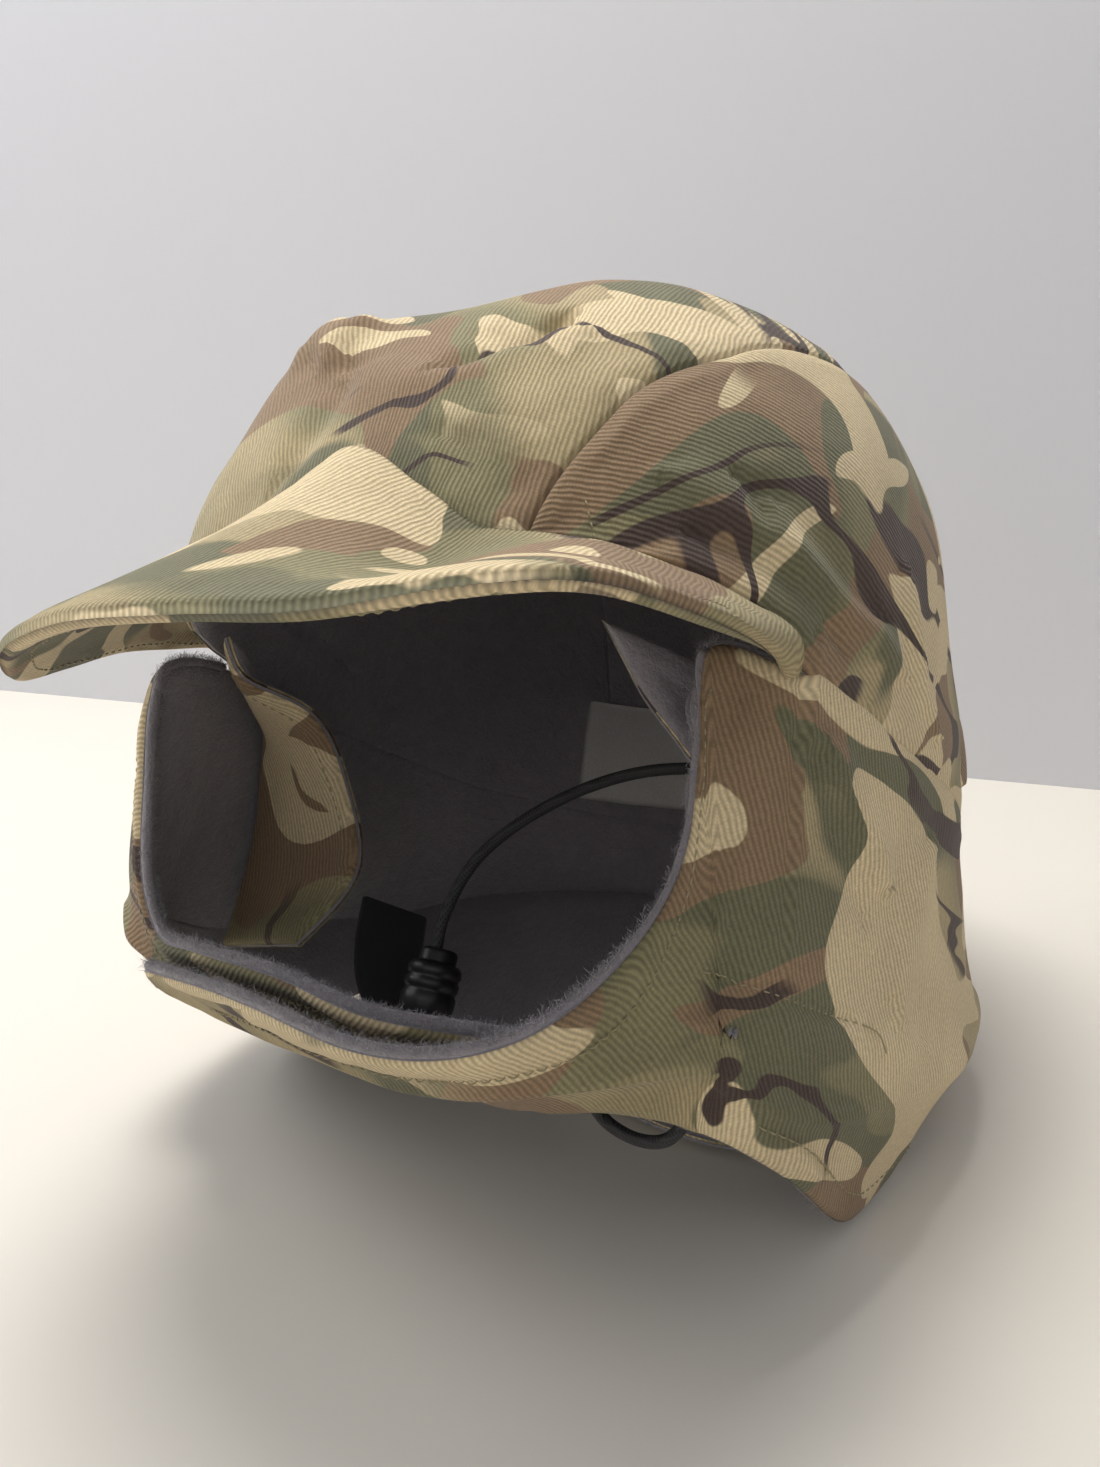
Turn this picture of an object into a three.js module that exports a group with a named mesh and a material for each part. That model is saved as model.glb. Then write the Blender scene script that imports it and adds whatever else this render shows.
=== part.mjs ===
import * as THREE from 'three';

// A padded cold weather cap with a soft peak, an ear and neck curtain closed
// under the chin and a fleece lining, resting on the hem of its neck cape.
// All sizes are in millimetres. Tables are in the frame of the worn cap:
// x to the wearer's left, y to the back, z up, origin in the headband's middle.

// Headband and crown
const HALF_WIDTH = 96;
const FRONT_REACH = 112;
const BACK_REACH = 122;
const CROWN_HEIGHT = 103;
const PLAN_POWER = 2.25;
const STRIP_HALF = 71;
const SEAM_GAP = 1;
const LOW_SEAM_GAP = 1.2;

// Cloth
const TWILL = 1.6;
const FLEECE = 2.4;
const LAYER_GAP = 0.4;

// Peak
const PEAK_REACH = 48;
const PEAK_DROP = 46;
const PEAK_THICK = 4.6;
const PEAK_END_ANGLE = 63;
const PEAK_ARCH = 1;
const RIGHT_END_LIFT = 5.5;

// Curtain
const CURTAIN_DROP = 100;

// Drawcord and its lock
const CORD_DIAMETER = 3;
const LOCK_LENGTH = 19;
const LOCK_RADIUS = 7;

// Label inside, by angle round the headband and height
const LABEL_FROM = -147;
const LABEL_TO = -169;
const LABEL_LOW = -30;
const LABEL_HIGH = 6;
const LABEL_THICK = 0.8;

// Resting pose: the cap leans back on its cape, and a little to one side
const LEAN_BACK = 23.8;
const LEAN_SIDE = 5.8;
const HEADBAND_ABOVE_TABLE = 121.6;
const CENTRE_X = 8.2;
const CENTRE_Y = -14.6;

// Height of the seam between crown and curtain, as shares of the curtain drop,
// for angles from the forehead to the nape, first on the right, then the left
const SEAM_HEIGHTS = [
  [-180, -0.38], [-128, -0.325], [-105, -0.27], [-90, -0.235], [-76, -0.195], [-66, -0.15], [-56, -0.12],
  [-46, -0.1], [-36, -0.07], [-24, -0.02], [-12, 0.03], [0, 0.09], [8, 0.12], [16, 0.07], [24, 0.01],
  [36, 0.01], [46, -0.01], [56, -0.05], [66, -0.115], [76, -0.168], [90, -0.22], [105, -0.26],
  [128, -0.32], [180, -0.38],
];
const JOIN_ANGLE = 66;

// Half width of the crown's centre panel, as shares of its widest, from the
// forehead over the top to the nape
const STRIP_WIDTHS = [[0, 0.74], [0.12, 0.84], [0.25, 0.96], [0.4, 1], [0.6, 0.96], [0.8, 0.86], [1, 0.74]];

// Dents and swellings of the crown: middle as shares of half width, back reach
// and crown height, then radius and depth in shares of the crown height
const CROWN_DENTS = [
  [-0.2, -0.36, 0.82, 0.24, -0.055],
  [-0.36, -0.62, 0.6, 0.24, 0.06],
  [0.3, -0.62, 0.5, 0.26, -0.02],
  [0.75, 0.3, 0.75, 0.25, -0.03],
  [-0.75, 0.3, 0.75, 0.28, -0.045],
  [0, 0.95, 0.5, 0.4, 0.05],
  [0.95, 0.5, 0.3, 0.35, -0.035],
  [0.9, 0.55, -0.3, 0.42, 0.055],
];

// Edge of the peak: angle share, then x by half width, reach ahead of the
// headband by peak reach, drop by peak drop
const PEAK_EDGE = [
  [-1, -1, -1.3, 0.17], [-0.84, -0.88, -0.78, 0.32], [-0.68, -0.79, -0.32, 0.46], [-0.52, -0.69, 0.12, 0.66],
  [-0.36, -0.57, 0.48, 0.8], [-0.18, -0.33, 0.82, 0.76], [0, -0.02, 0.98, 0.7], [0.18, 0.3, 0.97, 0.68],
  [0.36, 0.58, 0.88, 0.66], [0.52, 0.79, 0.58, 0.5], [0.68, 0.88, 0.12, 0.36], [0.84, 0.93, -0.5, 0.32],
  [1, 0.905, -1.34, 0.25],
];

// Curtain sections: top, crease and hem of each column, x by half width,
// y by front reach, z by curtain drop, from the nape to the strap end
const LEFT_CURTAIN = [
  [0.004, 1.09, -0.385, 0.008, 1.17, -0.62, 0.034, 0.2, -1.21],
  [0.48, 1, -0.375, 0.54, 1.07, -0.68, 0.46, 0.17, -1.27],
  [0.81, 0.74, -0.345, 0.93, 0.8, -0.8, 0.78, 0.32, -1.26],
  [0.97, 0.4, -0.305, 1.07, 0.46, -0.95, 0.93, 0.34, -1.24],
  [1.005, 0.12, -0.26, 1.075, 0.12, -1.02, 0.945, 0.16, -1.325],
  [1, -0.02, -0.23, 1.06, -0.03, -1.04, 0.955, 0.02, -1.33],
  [0.98, -0.21, -0.195, 1.02, -0.22, -1.06, 0.965, -0.24, -1.215],
  [0.93, -0.38, -0.135, 0.96, -0.37, -1.04, 0.9, -0.375, -1.15],
  [0.77, -0.5, -0.1, 0.9, -0.45, -0.99, 0.85, -0.43, -1.125],
  [0.775, -0.505, -0.32, 0.875, -0.47, -0.98, 0.81, -0.445, -1.12],
  [0.775, -0.52, -0.56, 0.84, -0.52, -0.98, 0.77, -0.455, -1.115],
  [0.73, -0.59, -0.76, 0.78, -0.555, -1, 0.7, -0.465, -1.115],
  [0.665, -0.75, -0.93, 0.67, -0.645, -1.04, 0.6, -0.465, -1.12],
  [0.51, -0.84, -1.02, 0.48, -0.715, -1.09, 0.46, -0.447, -1.145],
  [0.27, -0.875, -1.045, 0.25, -0.73, -1.1, 0.25, -0.43, -1.16],
  [-0.08, -0.85, -1.01, -0.08, -0.715, -1.09, -0.06, -0.41, -1.16],
  [-0.32, -0.805, -1, -0.32, -0.7, -1.07, -0.31, -0.45, -1.15],
  [-0.61, -0.74, -1, -0.64, -0.68, -1.045, -0.6, -0.53, -1.14],
];

const RIGHT_CURTAIN = [
  [-0.004, 1.09, -0.385, -0.008, 1.17, -0.62, -0.034, 0.2, -1.21],
  [-0.48, 1, -0.375, -0.54, 1.07, -0.64, -0.46, 0.17, -1.165],
  [-0.81, 0.74, -0.345, -0.95, 0.8, -0.7, -0.78, 0.3, -1.08],
  [-0.98, 0.4, -0.305, -1.09, 0.45, -0.8, -0.97, 0.34, -1.03],
  [-1.02, 0.1, -0.25, -1.12, 0.06, -0.86, -1.01, 0.1, -1.14],
  [-1.02, -0.06, -0.22, -1.11, -0.08, -0.88, -1.01, -0.04, -1.17],
  [-1, -0.22, -0.195, -1.09, -0.27, -0.9, -1.02, -0.25, -1.12],
  [-0.96, -0.43, -0.14, -1.04, -0.46, -0.88, -0.98, -0.45, -1.04],
  [-0.84, -0.7, -0.185, -0.97, -0.58, -0.86, -0.93, -0.49, -1.04],
  [-0.825, -0.75, -0.3, -0.94, -0.62, -0.85, -0.9, -0.5, -1.04],
  [-0.79, -0.75, -0.52, -0.88, -0.64, -0.92, -0.83, -0.5, -1.06],
  [-0.76, -0.73, -0.76, -0.8, -0.64, -0.96, -0.77, -0.48, -1.07],
  [-0.68, -0.705, -0.91, -0.69, -0.64, -1, -0.66, -0.465, -1.075],
  [-0.46, -0.74, -0.93, -0.46, -0.66, -1, -0.46, -0.43, -1.06],
  [-0.1, -0.785, -0.945, -0.08, -0.68, -1.02, -0.06, -0.39, -1.07],
  [0.23, -0.8, -0.965, 0.23, -0.68, -1.03, 0.23, -0.41, -1.06],
  [0.56, -0.69, -0.93, 0.55, -0.6, -0.99, 0.53, -0.46, -1.03],
];

// Inner ear flaps: height share down the flap, forward edge and rear edge as
// x by half width and y by front reach, height by curtain drop
const LEFT_EAR_FLAP = [
  [0.5, -0.54, -0.05, 0.938, -0.16, -0.2],
  [0.56, -0.47, -0.17, 0.944, -0.12, -0.3],
  [0.65, -0.41, -0.28, 0.95, -0.1, -0.42],
  [0.76, -0.34, -0.42, 0.95, -0.12, -0.54],
];
const RIGHT_EAR_FLAP = [
  [-0.71, -0.64, -0.11, -0.916, -0.3, -0.2],
  [-0.68, -0.58, -0.21, -0.926, -0.28, -0.3],
  [-0.59, -0.41, -0.27, -0.946, -0.28, -0.42],
  [-0.51, -0.34, -0.43, -0.96, -0.26, -0.56],
  [-0.43, -0.32, -0.67, -0.975, -0.26, -0.72],
  [-0.42, -0.38, -0.86, -0.97, -0.3, -0.86],
];

// Route of the drawcord across the hollow and of its loop below the hem
const CORD_ROUTE = [
  [0.92, 0.03, -0.42], [0.83, -0.06, -0.37], [0.7, -0.18, -0.33], [0.44, -0.22, -0.34], [0.18, -0.25, -0.44],
  [0, -0.3, -0.6], [-0.06, -0.33, -0.76], [-0.062, -0.338, -0.84],
];
const LOOP_ROUTE = [
  [0.5, -0.53, -1.045], [0.505, -0.43, -1.06], [0.51, -0.385, -1.11], [0.56, -0.38, -1.15],
  [0.65, -0.38, -1.17], [0.72, -0.38, -1.155], [0.755, -0.375, -1.11], [0.76, -0.39, -1.045],
];

const rad = (degrees) => degrees * Math.PI / 180;
const mix = (a, b, t) => a + (b - a) * t;

// Smooth curve through the rows of a table, every column at once
function alongRows(rows, share) {
  const last = rows.length - 1;
  const place = Math.min(Math.max(share, 0), 1) * last;
  const i = Math.min(Math.floor(place), last - 1);
  const t = place - i;
  const a = rows[Math.max(i - 1, 0)];
  const b = rows[i];
  const c = rows[i + 1];
  const d = rows[Math.min(i + 2, last)];
  return b.map((_, k) => {
    const before = (c[k] - a[k]) / 2;
    const after = (d[k] - b[k]) / 2;
    const t2 = t * t;
    const t3 = t2 * t;
    return (2 * t3 - 3 * t2 + 1) * b[k] + (t3 - 2 * t2 + t) * before
      + (3 * t2 - 2 * t3) * c[k] + (t3 - t2) * after;
  });
}

function tableValue(table, x) {
  for (let i = 1; i < table.length; i += 1) {
    if (x <= table[i][0]) {
      const t = (x - table[i - 1][0]) / (table[i][0] - table[i - 1][0]);
      const s = t * t * (3 - 2 * t);
      return mix(table[i - 1][1], table[i][1], mix(t, s, 0.5));
    }
  }
  return table[table.length - 1][1];
}

// Headband outline and the seam height on it
function ringPoint(angle) {
  const s = Math.sin(angle);
  const c = -Math.cos(angle);
  const reach = c < 0 ? FRONT_REACH : BACK_REACH;
  const q = (Math.abs(s / HALF_WIDTH) ** PLAN_POWER + Math.abs(c / reach) ** PLAN_POWER) ** (1 / PLAN_POWER);
  return [s / q, c / q];
}

function seamHeight(angle) {
  const degrees = angle * 180 / Math.PI;
  return tableValue(SEAM_HEIGHTS, degrees) * CURTAIN_DROP;
}

// Crown: one rounded form, taller behind, that its three panels share
function crownShare(x, y, z) {
  const reach = y < 0 ? FRONT_REACH : BACK_REACH;
  const q = (Math.abs(x / HALF_WIDTH) ** PLAN_POWER + Math.abs(y / reach) ** PLAN_POWER) ** (1 / PLAN_POWER);
  if (z <= 0) {
    return q;
  }
  const flat = Math.hypot(x, y) + 1e-6;
  const power = 2.35 + 0.6 * y / flat;
  return (q ** power + (z / CROWN_HEIGHT) ** power) ** (1 / power);
}

function dented(point) {
  const out = point.clone();
  const away = point.clone().setZ(Math.max(point.z, 0)).normalize();
  for (const [x, y, z, radius, depth] of CROWN_DENTS) {
    const dx = point.x - x * HALF_WIDTH;
    const dy = point.y - y * BACK_REACH;
    const dz = point.z - z * CROWN_HEIGHT;
    const far = (dx * dx + dy * dy + dz * dz) / (radius * CROWN_HEIGHT) ** 2;
    out.addScaledVector(away, depth * CROWN_HEIGHT * Math.exp(-far));
  }
  return out;
}

function crownRay(x, y, z) {
  const k = 1 / crownShare(x, y, z);
  return new THREE.Vector3(x * k, y * k, z * k);
}

function stripPoint(x, turn) {
  let low = 0;
  let high = 300;
  for (let i = 0; i < 40; i += 1) {
    const r = (low + high) / 2;
    if (crownShare(x, -r * Math.cos(turn), r * Math.sin(turn)) < 1) {
      low = r;
    } else {
      high = r;
    }
  }
  return new THREE.Vector3(x, -low * Math.cos(turn), low * Math.sin(turn));
}

function ringAngleAt(x, behind) {
  const side = x < 0 ? -1 : 1;
  let low = 0;
  let high = Math.PI / 2;
  for (let i = 0; i < 40; i += 1) {
    const a = (low + high) / 2;
    const point = ringPoint(behind ? Math.PI - a : a);
    if (point[0] < Math.abs(x)) {
      low = a;
    } else {
      high = a;
    }
  }
  return side * (behind ? Math.PI - low : low);
}

function stripHalf(v) {
  return tableValue(STRIP_WIDTHS, v) * STRIP_HALF;
}

function stripTurn(x, v) {
  const front = ringAngleAt(x, false);
  const behind = ringAngleAt(x, true);
  const a = Math.atan2(seamHeight(front), -ringPoint(front)[1]);
  const b = Math.PI - Math.atan2(seamHeight(behind), ringPoint(behind)[1]);
  return mix(a, b, v);
}

function centrePanel(u, v) {
  const half = stripHalf(v) - SEAM_GAP / 2;
  const x = u * half;
  return dented(stripPoint(x, stripTurn(x, v)));
}

function sidePanel(side, u, v) {
  const along = mix(0.014, 0.986, u);
  const half = stripHalf(along) + SEAM_GAP / 2;
  const top = stripPoint(side * half, stripTurn(side * half, along));
  const from = ringAngleAt(side * (stripHalf(0) + SEAM_GAP / 2), false);
  const to = ringAngleAt(side * (stripHalf(1) + SEAM_GAP / 2), true);
  const angle = mix(from, to, mix(0.003, 0.997, u));
  const ring = ringPoint(angle);
  const low = new THREE.Vector3(ring[0], ring[1], seamHeight(angle));
  const between = low.clone().lerp(top, v);
  return dented(crownRay(between.x, between.y, between.z));
}

// A closed sheet of cloth from a grid of points: the grid is its outer face,
// moved in by the given inset, and the cloth is laid on inside that
function sheet(surface, columns, rows, inset, thick, outward) {
  const at = (i, j) => surface(Math.min(Math.max(i / columns, 0), 1), Math.min(Math.max(j / rows, 0), 1));
  const face = [];
  const back = [];
  const h = 0.004;
  for (let i = 0; i <= columns; i += 1) {
    for (let j = 0; j <= rows; j += 1) {
      const u = i / columns;
      const v = j / rows;
      const du = surface(Math.min(u + h, 1), v).sub(surface(Math.max(u - h, 0), v));
      const dv = surface(u, Math.min(v + h, 1)).sub(surface(u, Math.max(v - h, 0)));
      const normal = du.cross(dv).normalize().multiplyScalar(outward);
      const point = at(i, j);
      face.push(point.clone().addScaledVector(normal, -inset));
      back.push(point.clone().addScaledVector(normal, -inset - thick));
    }
  }
  const positions = [...face, ...back].flatMap((p) => [p.x, p.y, p.z]);
  const index = [];
  const count = face.length;
  const id = (i, j) => i * (rows + 1) + j;
  const quad = (a, b, c, d) => index.push(a, b, c, a, c, d);
  for (let i = 0; i < columns; i += 1) {
    for (let j = 0; j < rows; j += 1) {
      quad(id(i, j), id(i + 1, j), id(i + 1, j + 1), id(i, j + 1));
      quad(count + id(i, j), count + id(i, j + 1), count + id(i + 1, j + 1), count + id(i + 1, j));
    }
  }
  for (let i = 0; i < columns; i += 1) {
    quad(id(i, 0), count + id(i, 0), count + id(i + 1, 0), id(i + 1, 0));
    quad(id(i, rows), id(i + 1, rows), count + id(i + 1, rows), count + id(i, rows));
  }
  for (let j = 0; j < rows; j += 1) {
    quad(id(0, j), id(0, j + 1), count + id(0, j + 1), count + id(0, j));
    quad(id(columns, j), count + id(columns, j), count + id(columns, j + 1), id(columns, j + 1));
  }
  if (outward < 0) {
    for (let k = 0; k < index.length; k += 3) {
      [index[k], index[k + 1]] = [index[k + 1], index[k]];
    }
  }
  const geometry = new THREE.BufferGeometry();
  geometry.setAttribute('position', new THREE.Float32BufferAttribute(positions, 3));
  geometry.setIndex(index);
  return geometry;
}

// Peak: from the front of the headband out to its rounded edge
function peakSurface(u, v) {
  const share = mix(-1, 1, u);
  const angle = rad(PEAK_END_ANGLE) * share;
  const ring = ringPoint(angle);
  const out = 1.005 + 0.045 * share ** 4;
  const foot = dented(new THREE.Vector3(ring[0], ring[1], seamHeight(angle) + 0.2));
  foot.x *= out;
  foot.y *= out;
  foot.z += RIGHT_END_LIFT * Math.min(Math.max(-share - 0.5, 0) * 2.5, 1);
  const edge = alongRows(PEAK_EDGE, u);
  const tip = new THREE.Vector3(
    edge[1] * HALF_WIDTH,
    -FRONT_REACH - edge[2] * PEAK_REACH,
    -edge[3] * PEAK_DROP,
  );
  const point = foot.lerp(tip, v);
  const arch = PEAK_ARCH * Math.sin(Math.PI * Math.min(v * 0.9 + 0.05, 1)) * (1 - share * share);
  const ridge = 7 * Math.exp(-(((share - 0.13) / 0.12) ** 2)) * (1 - v) ** 2;
  const sag = -9 * Math.exp(-(((share - 0.36) / 0.12) ** 2)) * Math.sin(Math.PI * v) * (1 - v);
  point.z += arch + ridge + sag;
  return point;
}

// The curtain's sections up to this row hang from the headband
const RING_ROWS = 7;

function curtainTop(angle) {
  const ring = ringPoint(angle);
  return dented(new THREE.Vector3(ring[0], ring[1], seamHeight(angle) - LOW_SEAM_GAP));
}

// Curtain: each column runs from its top over the crease to the hem
function curtainSurface(rows, u, v) {
  const section = alongRows(rows, u);
  const scale = (k) => new THREE.Vector3(
    section[k] * HALF_WIDTH,
    section[k + 1] * FRONT_REACH,
    section[k + 2] * CURTAIN_DROP,
  );
  const joined = RING_ROWS / (rows.length - 1);
  const top = u > joined ? scale(0) : curtainTop(mix(rad(179.8), rad(JOIN_ANGLE), u / joined) * Math.sign(section[3]));
  const crease = scale(3);
  const hem = scale(6);
  const fold = 0.68;
  if (v < fold) {
    const t = v / fold;
    return top.lerp(crease, t);
  }
  return crease.lerp(hem, (v - fold) / (1 - fold));
}

function flapSurface(rows, u, v) {
  const section = alongRows(rows, v);
  return new THREE.Vector3(
    mix(section[0], section[3], u) * HALF_WIDTH,
    mix(section[1], section[4], u) * FRONT_REACH,
    mix(section[2], section[5], u) * CURTAIN_DROP,
  );
}

// Label sewn to the lining behind the head
function labelSurface(u, v) {
  const angle = rad(mix(LABEL_FROM, LABEL_TO, u));
  const ring = ringPoint(angle);
  return dented(crownRay(ring[0], ring[1], mix(LABEL_LOW, LABEL_HIGH, v)));
}

// Cord and its lock
function cordGeometry(route, steps) {
  const points = route.map(([x, y, z]) => new THREE.Vector3(x * HALF_WIDTH, y * FRONT_REACH, z * CURTAIN_DROP));
  const curve = new THREE.CatmullRomCurve3(points);
  const shape = new THREE.Shape();
  for (let i = 0; i < 8; i += 1) {
    const a = i * Math.PI / 4;
    const x = Math.cos(a) * CORD_DIAMETER / 2;
    const y = Math.sin(a) * CORD_DIAMETER / 2;
    if (i === 0) {
      shape.moveTo(x, y);
    } else {
      shape.lineTo(x, y);
    }
  }
  shape.closePath();
  return new THREE.ExtrudeGeometry(shape, { steps, bevelEnabled: false, extrudePath: curve });
}

function lockGeometry() {
  const profile = [
    [0, -0.5], [0.55, -0.5], [0.85, -0.42], [1, -0.25], [1, 0.2], [0.86, 0.3], [0.7, 0.32],
    [0.7, 0.44], [0.5, 0.5], [0, 0.5],
  ].map(([r, z]) => new THREE.Vector2(r * LOCK_RADIUS, z * LOCK_LENGTH));
  const geometry = new THREE.LatheGeometry(profile, 14);
  geometry.rotateX(rad(80));
  geometry.translate(-0.05 * HALF_WIDTH, -0.352 * FRONT_REACH, -0.935 * CURTAIN_DROP);
  return geometry;
}

function addPiece(cap, name, geometry, colour) {
  const material = new THREE.MeshStandardMaterial({ color: colour, roughness: 0.9 });
  const mesh = new THREE.Mesh(geometry, material);
  mesh.name = name;
  cap.add(mesh);
}

function restOnTable(geometry) {
  const up = new THREE.Vector3(
    Math.sin(rad(LEAN_SIDE)),
    -Math.sin(rad(LEAN_BACK)) * Math.cos(rad(LEAN_SIDE)),
    Math.cos(rad(LEAN_BACK)) * Math.cos(rad(LEAN_SIDE)),
  );
  const behind = new THREE.Vector3(0, 1, 0).addScaledVector(up, -up.y).normalize();
  const left = behind.clone().cross(up);
  const turn = new THREE.Matrix4().set(
    left.x, left.y, left.z, -CENTRE_X,
    behind.x, behind.y, behind.z, -CENTRE_Y,
    up.x, up.y, up.z, HEADBAND_ABOVE_TABLE,
    0, 0, 0, 1,
  );
  geometry.applyMatrix4(turn);
}

const CAMOUFLAGE = '#8a7d5c';
const GREY_FLEECE = '#6f6a70';
const BLACK = '#1a1a1c';
const LIGHT_GREY = '#b9b7b4';

function buildCap() {
  const cap = new THREE.Group();
  cap.name = 'cold_weather_cap';
  const inner = TWILL + LAYER_GAP;

  const centre = (u, v) => centrePanel(mix(-1, 1, u), v);
  addPiece(cap, 'crown_centre_panel', sheet(centre, 8, 20, 0, TWILL, 1), CAMOUFLAGE);
  addPiece(cap, 'crown_centre_lining', sheet(centre, 8, 20, inner, FLEECE, 1), GREY_FLEECE);
  for (const [word, side] of [['left', 1], ['right', -1]]) {
    const panel = (u, v) => sidePanel(side, u, v);
    addPiece(cap, `crown_side_panel_${word}`, sheet(panel, 14, 6, 0, TWILL, side), CAMOUFLAGE);
    addPiece(cap, `crown_side_lining_${word}`, sheet(panel, 14, 6, inner, FLEECE, side), GREY_FLEECE);
  }

  addPiece(cap, 'peak', sheet(peakSurface, 22, 6, 0, PEAK_THICK, 1), CAMOUFLAGE);

  for (const [word, rows, side] of [['left', LEFT_CURTAIN, 1], ['right', RIGHT_CURTAIN, -1]]) {
    const wall = (u, v) => curtainSurface(rows, u, v);
    addPiece(cap, `curtain_${word}`, sheet(wall, 32, 7, 0, TWILL, side), CAMOUFLAGE);
    addPiece(cap, `curtain_lining_${word}`, sheet(wall, 32, 7, inner, FLEECE, side), GREY_FLEECE);
  }

  for (const [word, rows, side] of [['left', LEFT_EAR_FLAP, 1], ['right', RIGHT_EAR_FLAP, -1]]) {
    const flap = (u, v) => flapSurface(rows, u, v);
    const twillInset = side > 0 ? FLEECE + LAYER_GAP : 0;
    const fleeceInset = side > 0 ? 0 : inner;
    addPiece(cap, `ear_flap_${word}`, sheet(flap, 7, 8, twillInset, TWILL, -side), CAMOUFLAGE);
    addPiece(cap, `ear_flap_lining_${word}`, sheet(flap, 7, 8, fleeceInset, FLEECE, -side), GREY_FLEECE);
  }

  const labelInset = inner + FLEECE + 3 * LAYER_GAP;
  addPiece(cap, 'label', sheet(labelSurface, 6, 4, labelInset, LABEL_THICK, -1), LIGHT_GREY);

  addPiece(cap, 'drawcord', cordGeometry(CORD_ROUTE, 48), BLACK);
  addPiece(cap, 'drawcord_loop', cordGeometry(LOOP_ROUTE, 22), BLACK);
  addPiece(cap, 'cord_lock', lockGeometry(), BLACK);

  for (const mesh of cap.children) {
    restOnTable(mesh.geometry);
  }
  return cap;
}

export default buildCap();
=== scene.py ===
"""Looks of a padded cold weather cap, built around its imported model."""
import math

import bpy
import numpy as np
from mathutils import Matrix, Vector


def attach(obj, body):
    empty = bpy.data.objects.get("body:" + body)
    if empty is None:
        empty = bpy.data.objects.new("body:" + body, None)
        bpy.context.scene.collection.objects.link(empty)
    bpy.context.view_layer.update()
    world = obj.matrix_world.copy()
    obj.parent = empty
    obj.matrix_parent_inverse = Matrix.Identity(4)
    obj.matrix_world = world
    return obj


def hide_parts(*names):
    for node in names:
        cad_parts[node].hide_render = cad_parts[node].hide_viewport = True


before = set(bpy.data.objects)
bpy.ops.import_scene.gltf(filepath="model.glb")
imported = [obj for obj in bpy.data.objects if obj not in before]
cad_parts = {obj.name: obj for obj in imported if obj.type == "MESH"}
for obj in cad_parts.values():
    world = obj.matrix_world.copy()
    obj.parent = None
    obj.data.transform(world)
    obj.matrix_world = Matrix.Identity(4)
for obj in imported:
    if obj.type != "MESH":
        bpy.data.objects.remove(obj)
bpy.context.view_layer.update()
RNG = np.random.default_rng(7)

# ---------------------------------------------------------------- sizes, mm
HALF_WIDTH, FRONT_REACH, BACK_REACH, CROWN_HEIGHT = 96.0, 112.0, 122.0, 103.0
PLAN_POWER = 2.25
STRIP_HALF = 71.0
TWILL, FLEECE, LAYER_GAP = 1.6, 2.4, 0.4
WALL = TWILL + FLEECE + LAYER_GAP
PEAK_REACH, PEAK_DROP, PEAK_THICK, PEAK_END_ANGLE = 48.0, 46.0, 4.6, 63.0
PEAK_ARCH, RIGHT_END_LIFT = 1.0, 5.5
CURTAIN_DROP = 100.0
CORD_DIAMETER = 3.0
LOCK_LENGTH, LOCK_RADIUS = 19.0, 7.0
LABEL_FROM, LABEL_TO, LABEL_LOW, LABEL_HIGH = -147.0, -169.0, -30.0, 6.0
LEAN_BACK, LEAN_SIDE, HEADBAND_ABOVE_TABLE = 23.8, 5.8, 121.6
CENTRE_X, CENTRE_Y = 8.2, -14.6
JOIN_ANGLE, RING_ROWS, FOLD_SHARE = 66.0, 7, 0.68
SEAM_DIP, SEAM_ROUND, RIM_ROUND, LINING_AT_SEAM = 1.3, 1.9, 2.4, 3.3
CURTAIN_TUCK = 1.6  # how far the curtain's top goes up under the crown
LOWEST_SEEN, LOWEST_BACK = 0.0002, 0.001  # above the table, m
LOWEST_PILE, LOWEST_PILE_BACK = 0.0026, 0.0016

SEAM_HEIGHTS = np.array([
    [-180, -0.38], [-128, -0.325], [-105, -0.27], [-90, -0.235], [-76, -0.195], [-66, -0.15], [-56, -0.12],
    [-46, -0.1], [-36, -0.07], [-24, -0.045], [-12, -0.03], [0, 0.03], [8, 0.09], [16, 0.05], [24, -0.01],
    [36, -0.012], [46, -0.04], [56, -0.08], [66, -0.135], [76, -0.17], [90, -0.22], [105, -0.26],
    [128, -0.32], [180, -0.38],
])
STRIP_WIDTHS = np.array([[0, 0.74], [0.12, 0.84], [0.25, 0.96], [0.4, 1], [0.6, 0.96], [0.8, 0.86], [1, 0.74]])
CROWN_DENTS = [
    [-0.2, -0.36, 0.82, 0.24, -0.055],
    [-0.36, -0.62, 0.6, 0.24, 0.06],
    [0.3, -0.62, 0.5, 0.26, -0.02],
    [0.75, 0.3, 0.75, 0.25, -0.03],
    [-0.75, 0.3, 0.75, 0.28, -0.045],
    [0, 0.95, 0.5, 0.4, 0.05],
    [0.95, 0.5, 0.3, 0.35, -0.035],
    [0.9, 0.55, -0.3, 0.42, 0.055],
]
PEAK_EDGE = np.array([
    [-1, -1, -1.3, 0.17], [-0.84, -0.88, -0.78, 0.32], [-0.68, -0.79, -0.32, 0.46], [-0.52, -0.69, 0.12, 0.66],
    [-0.36, -0.57, 0.48, 0.8], [-0.18, -0.33, 0.82, 0.76], [0, -0.02, 0.98, 0.7], [0.18, 0.3, 0.97, 0.68],
    [0.36, 0.58, 0.88, 0.66], [0.52, 0.79, 0.58, 0.5], [0.68, 0.88, 0.12, 0.36], [0.84, 0.93, -0.5, 0.32],
    [1, 0.905, -1.34, 0.25],
])
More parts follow.
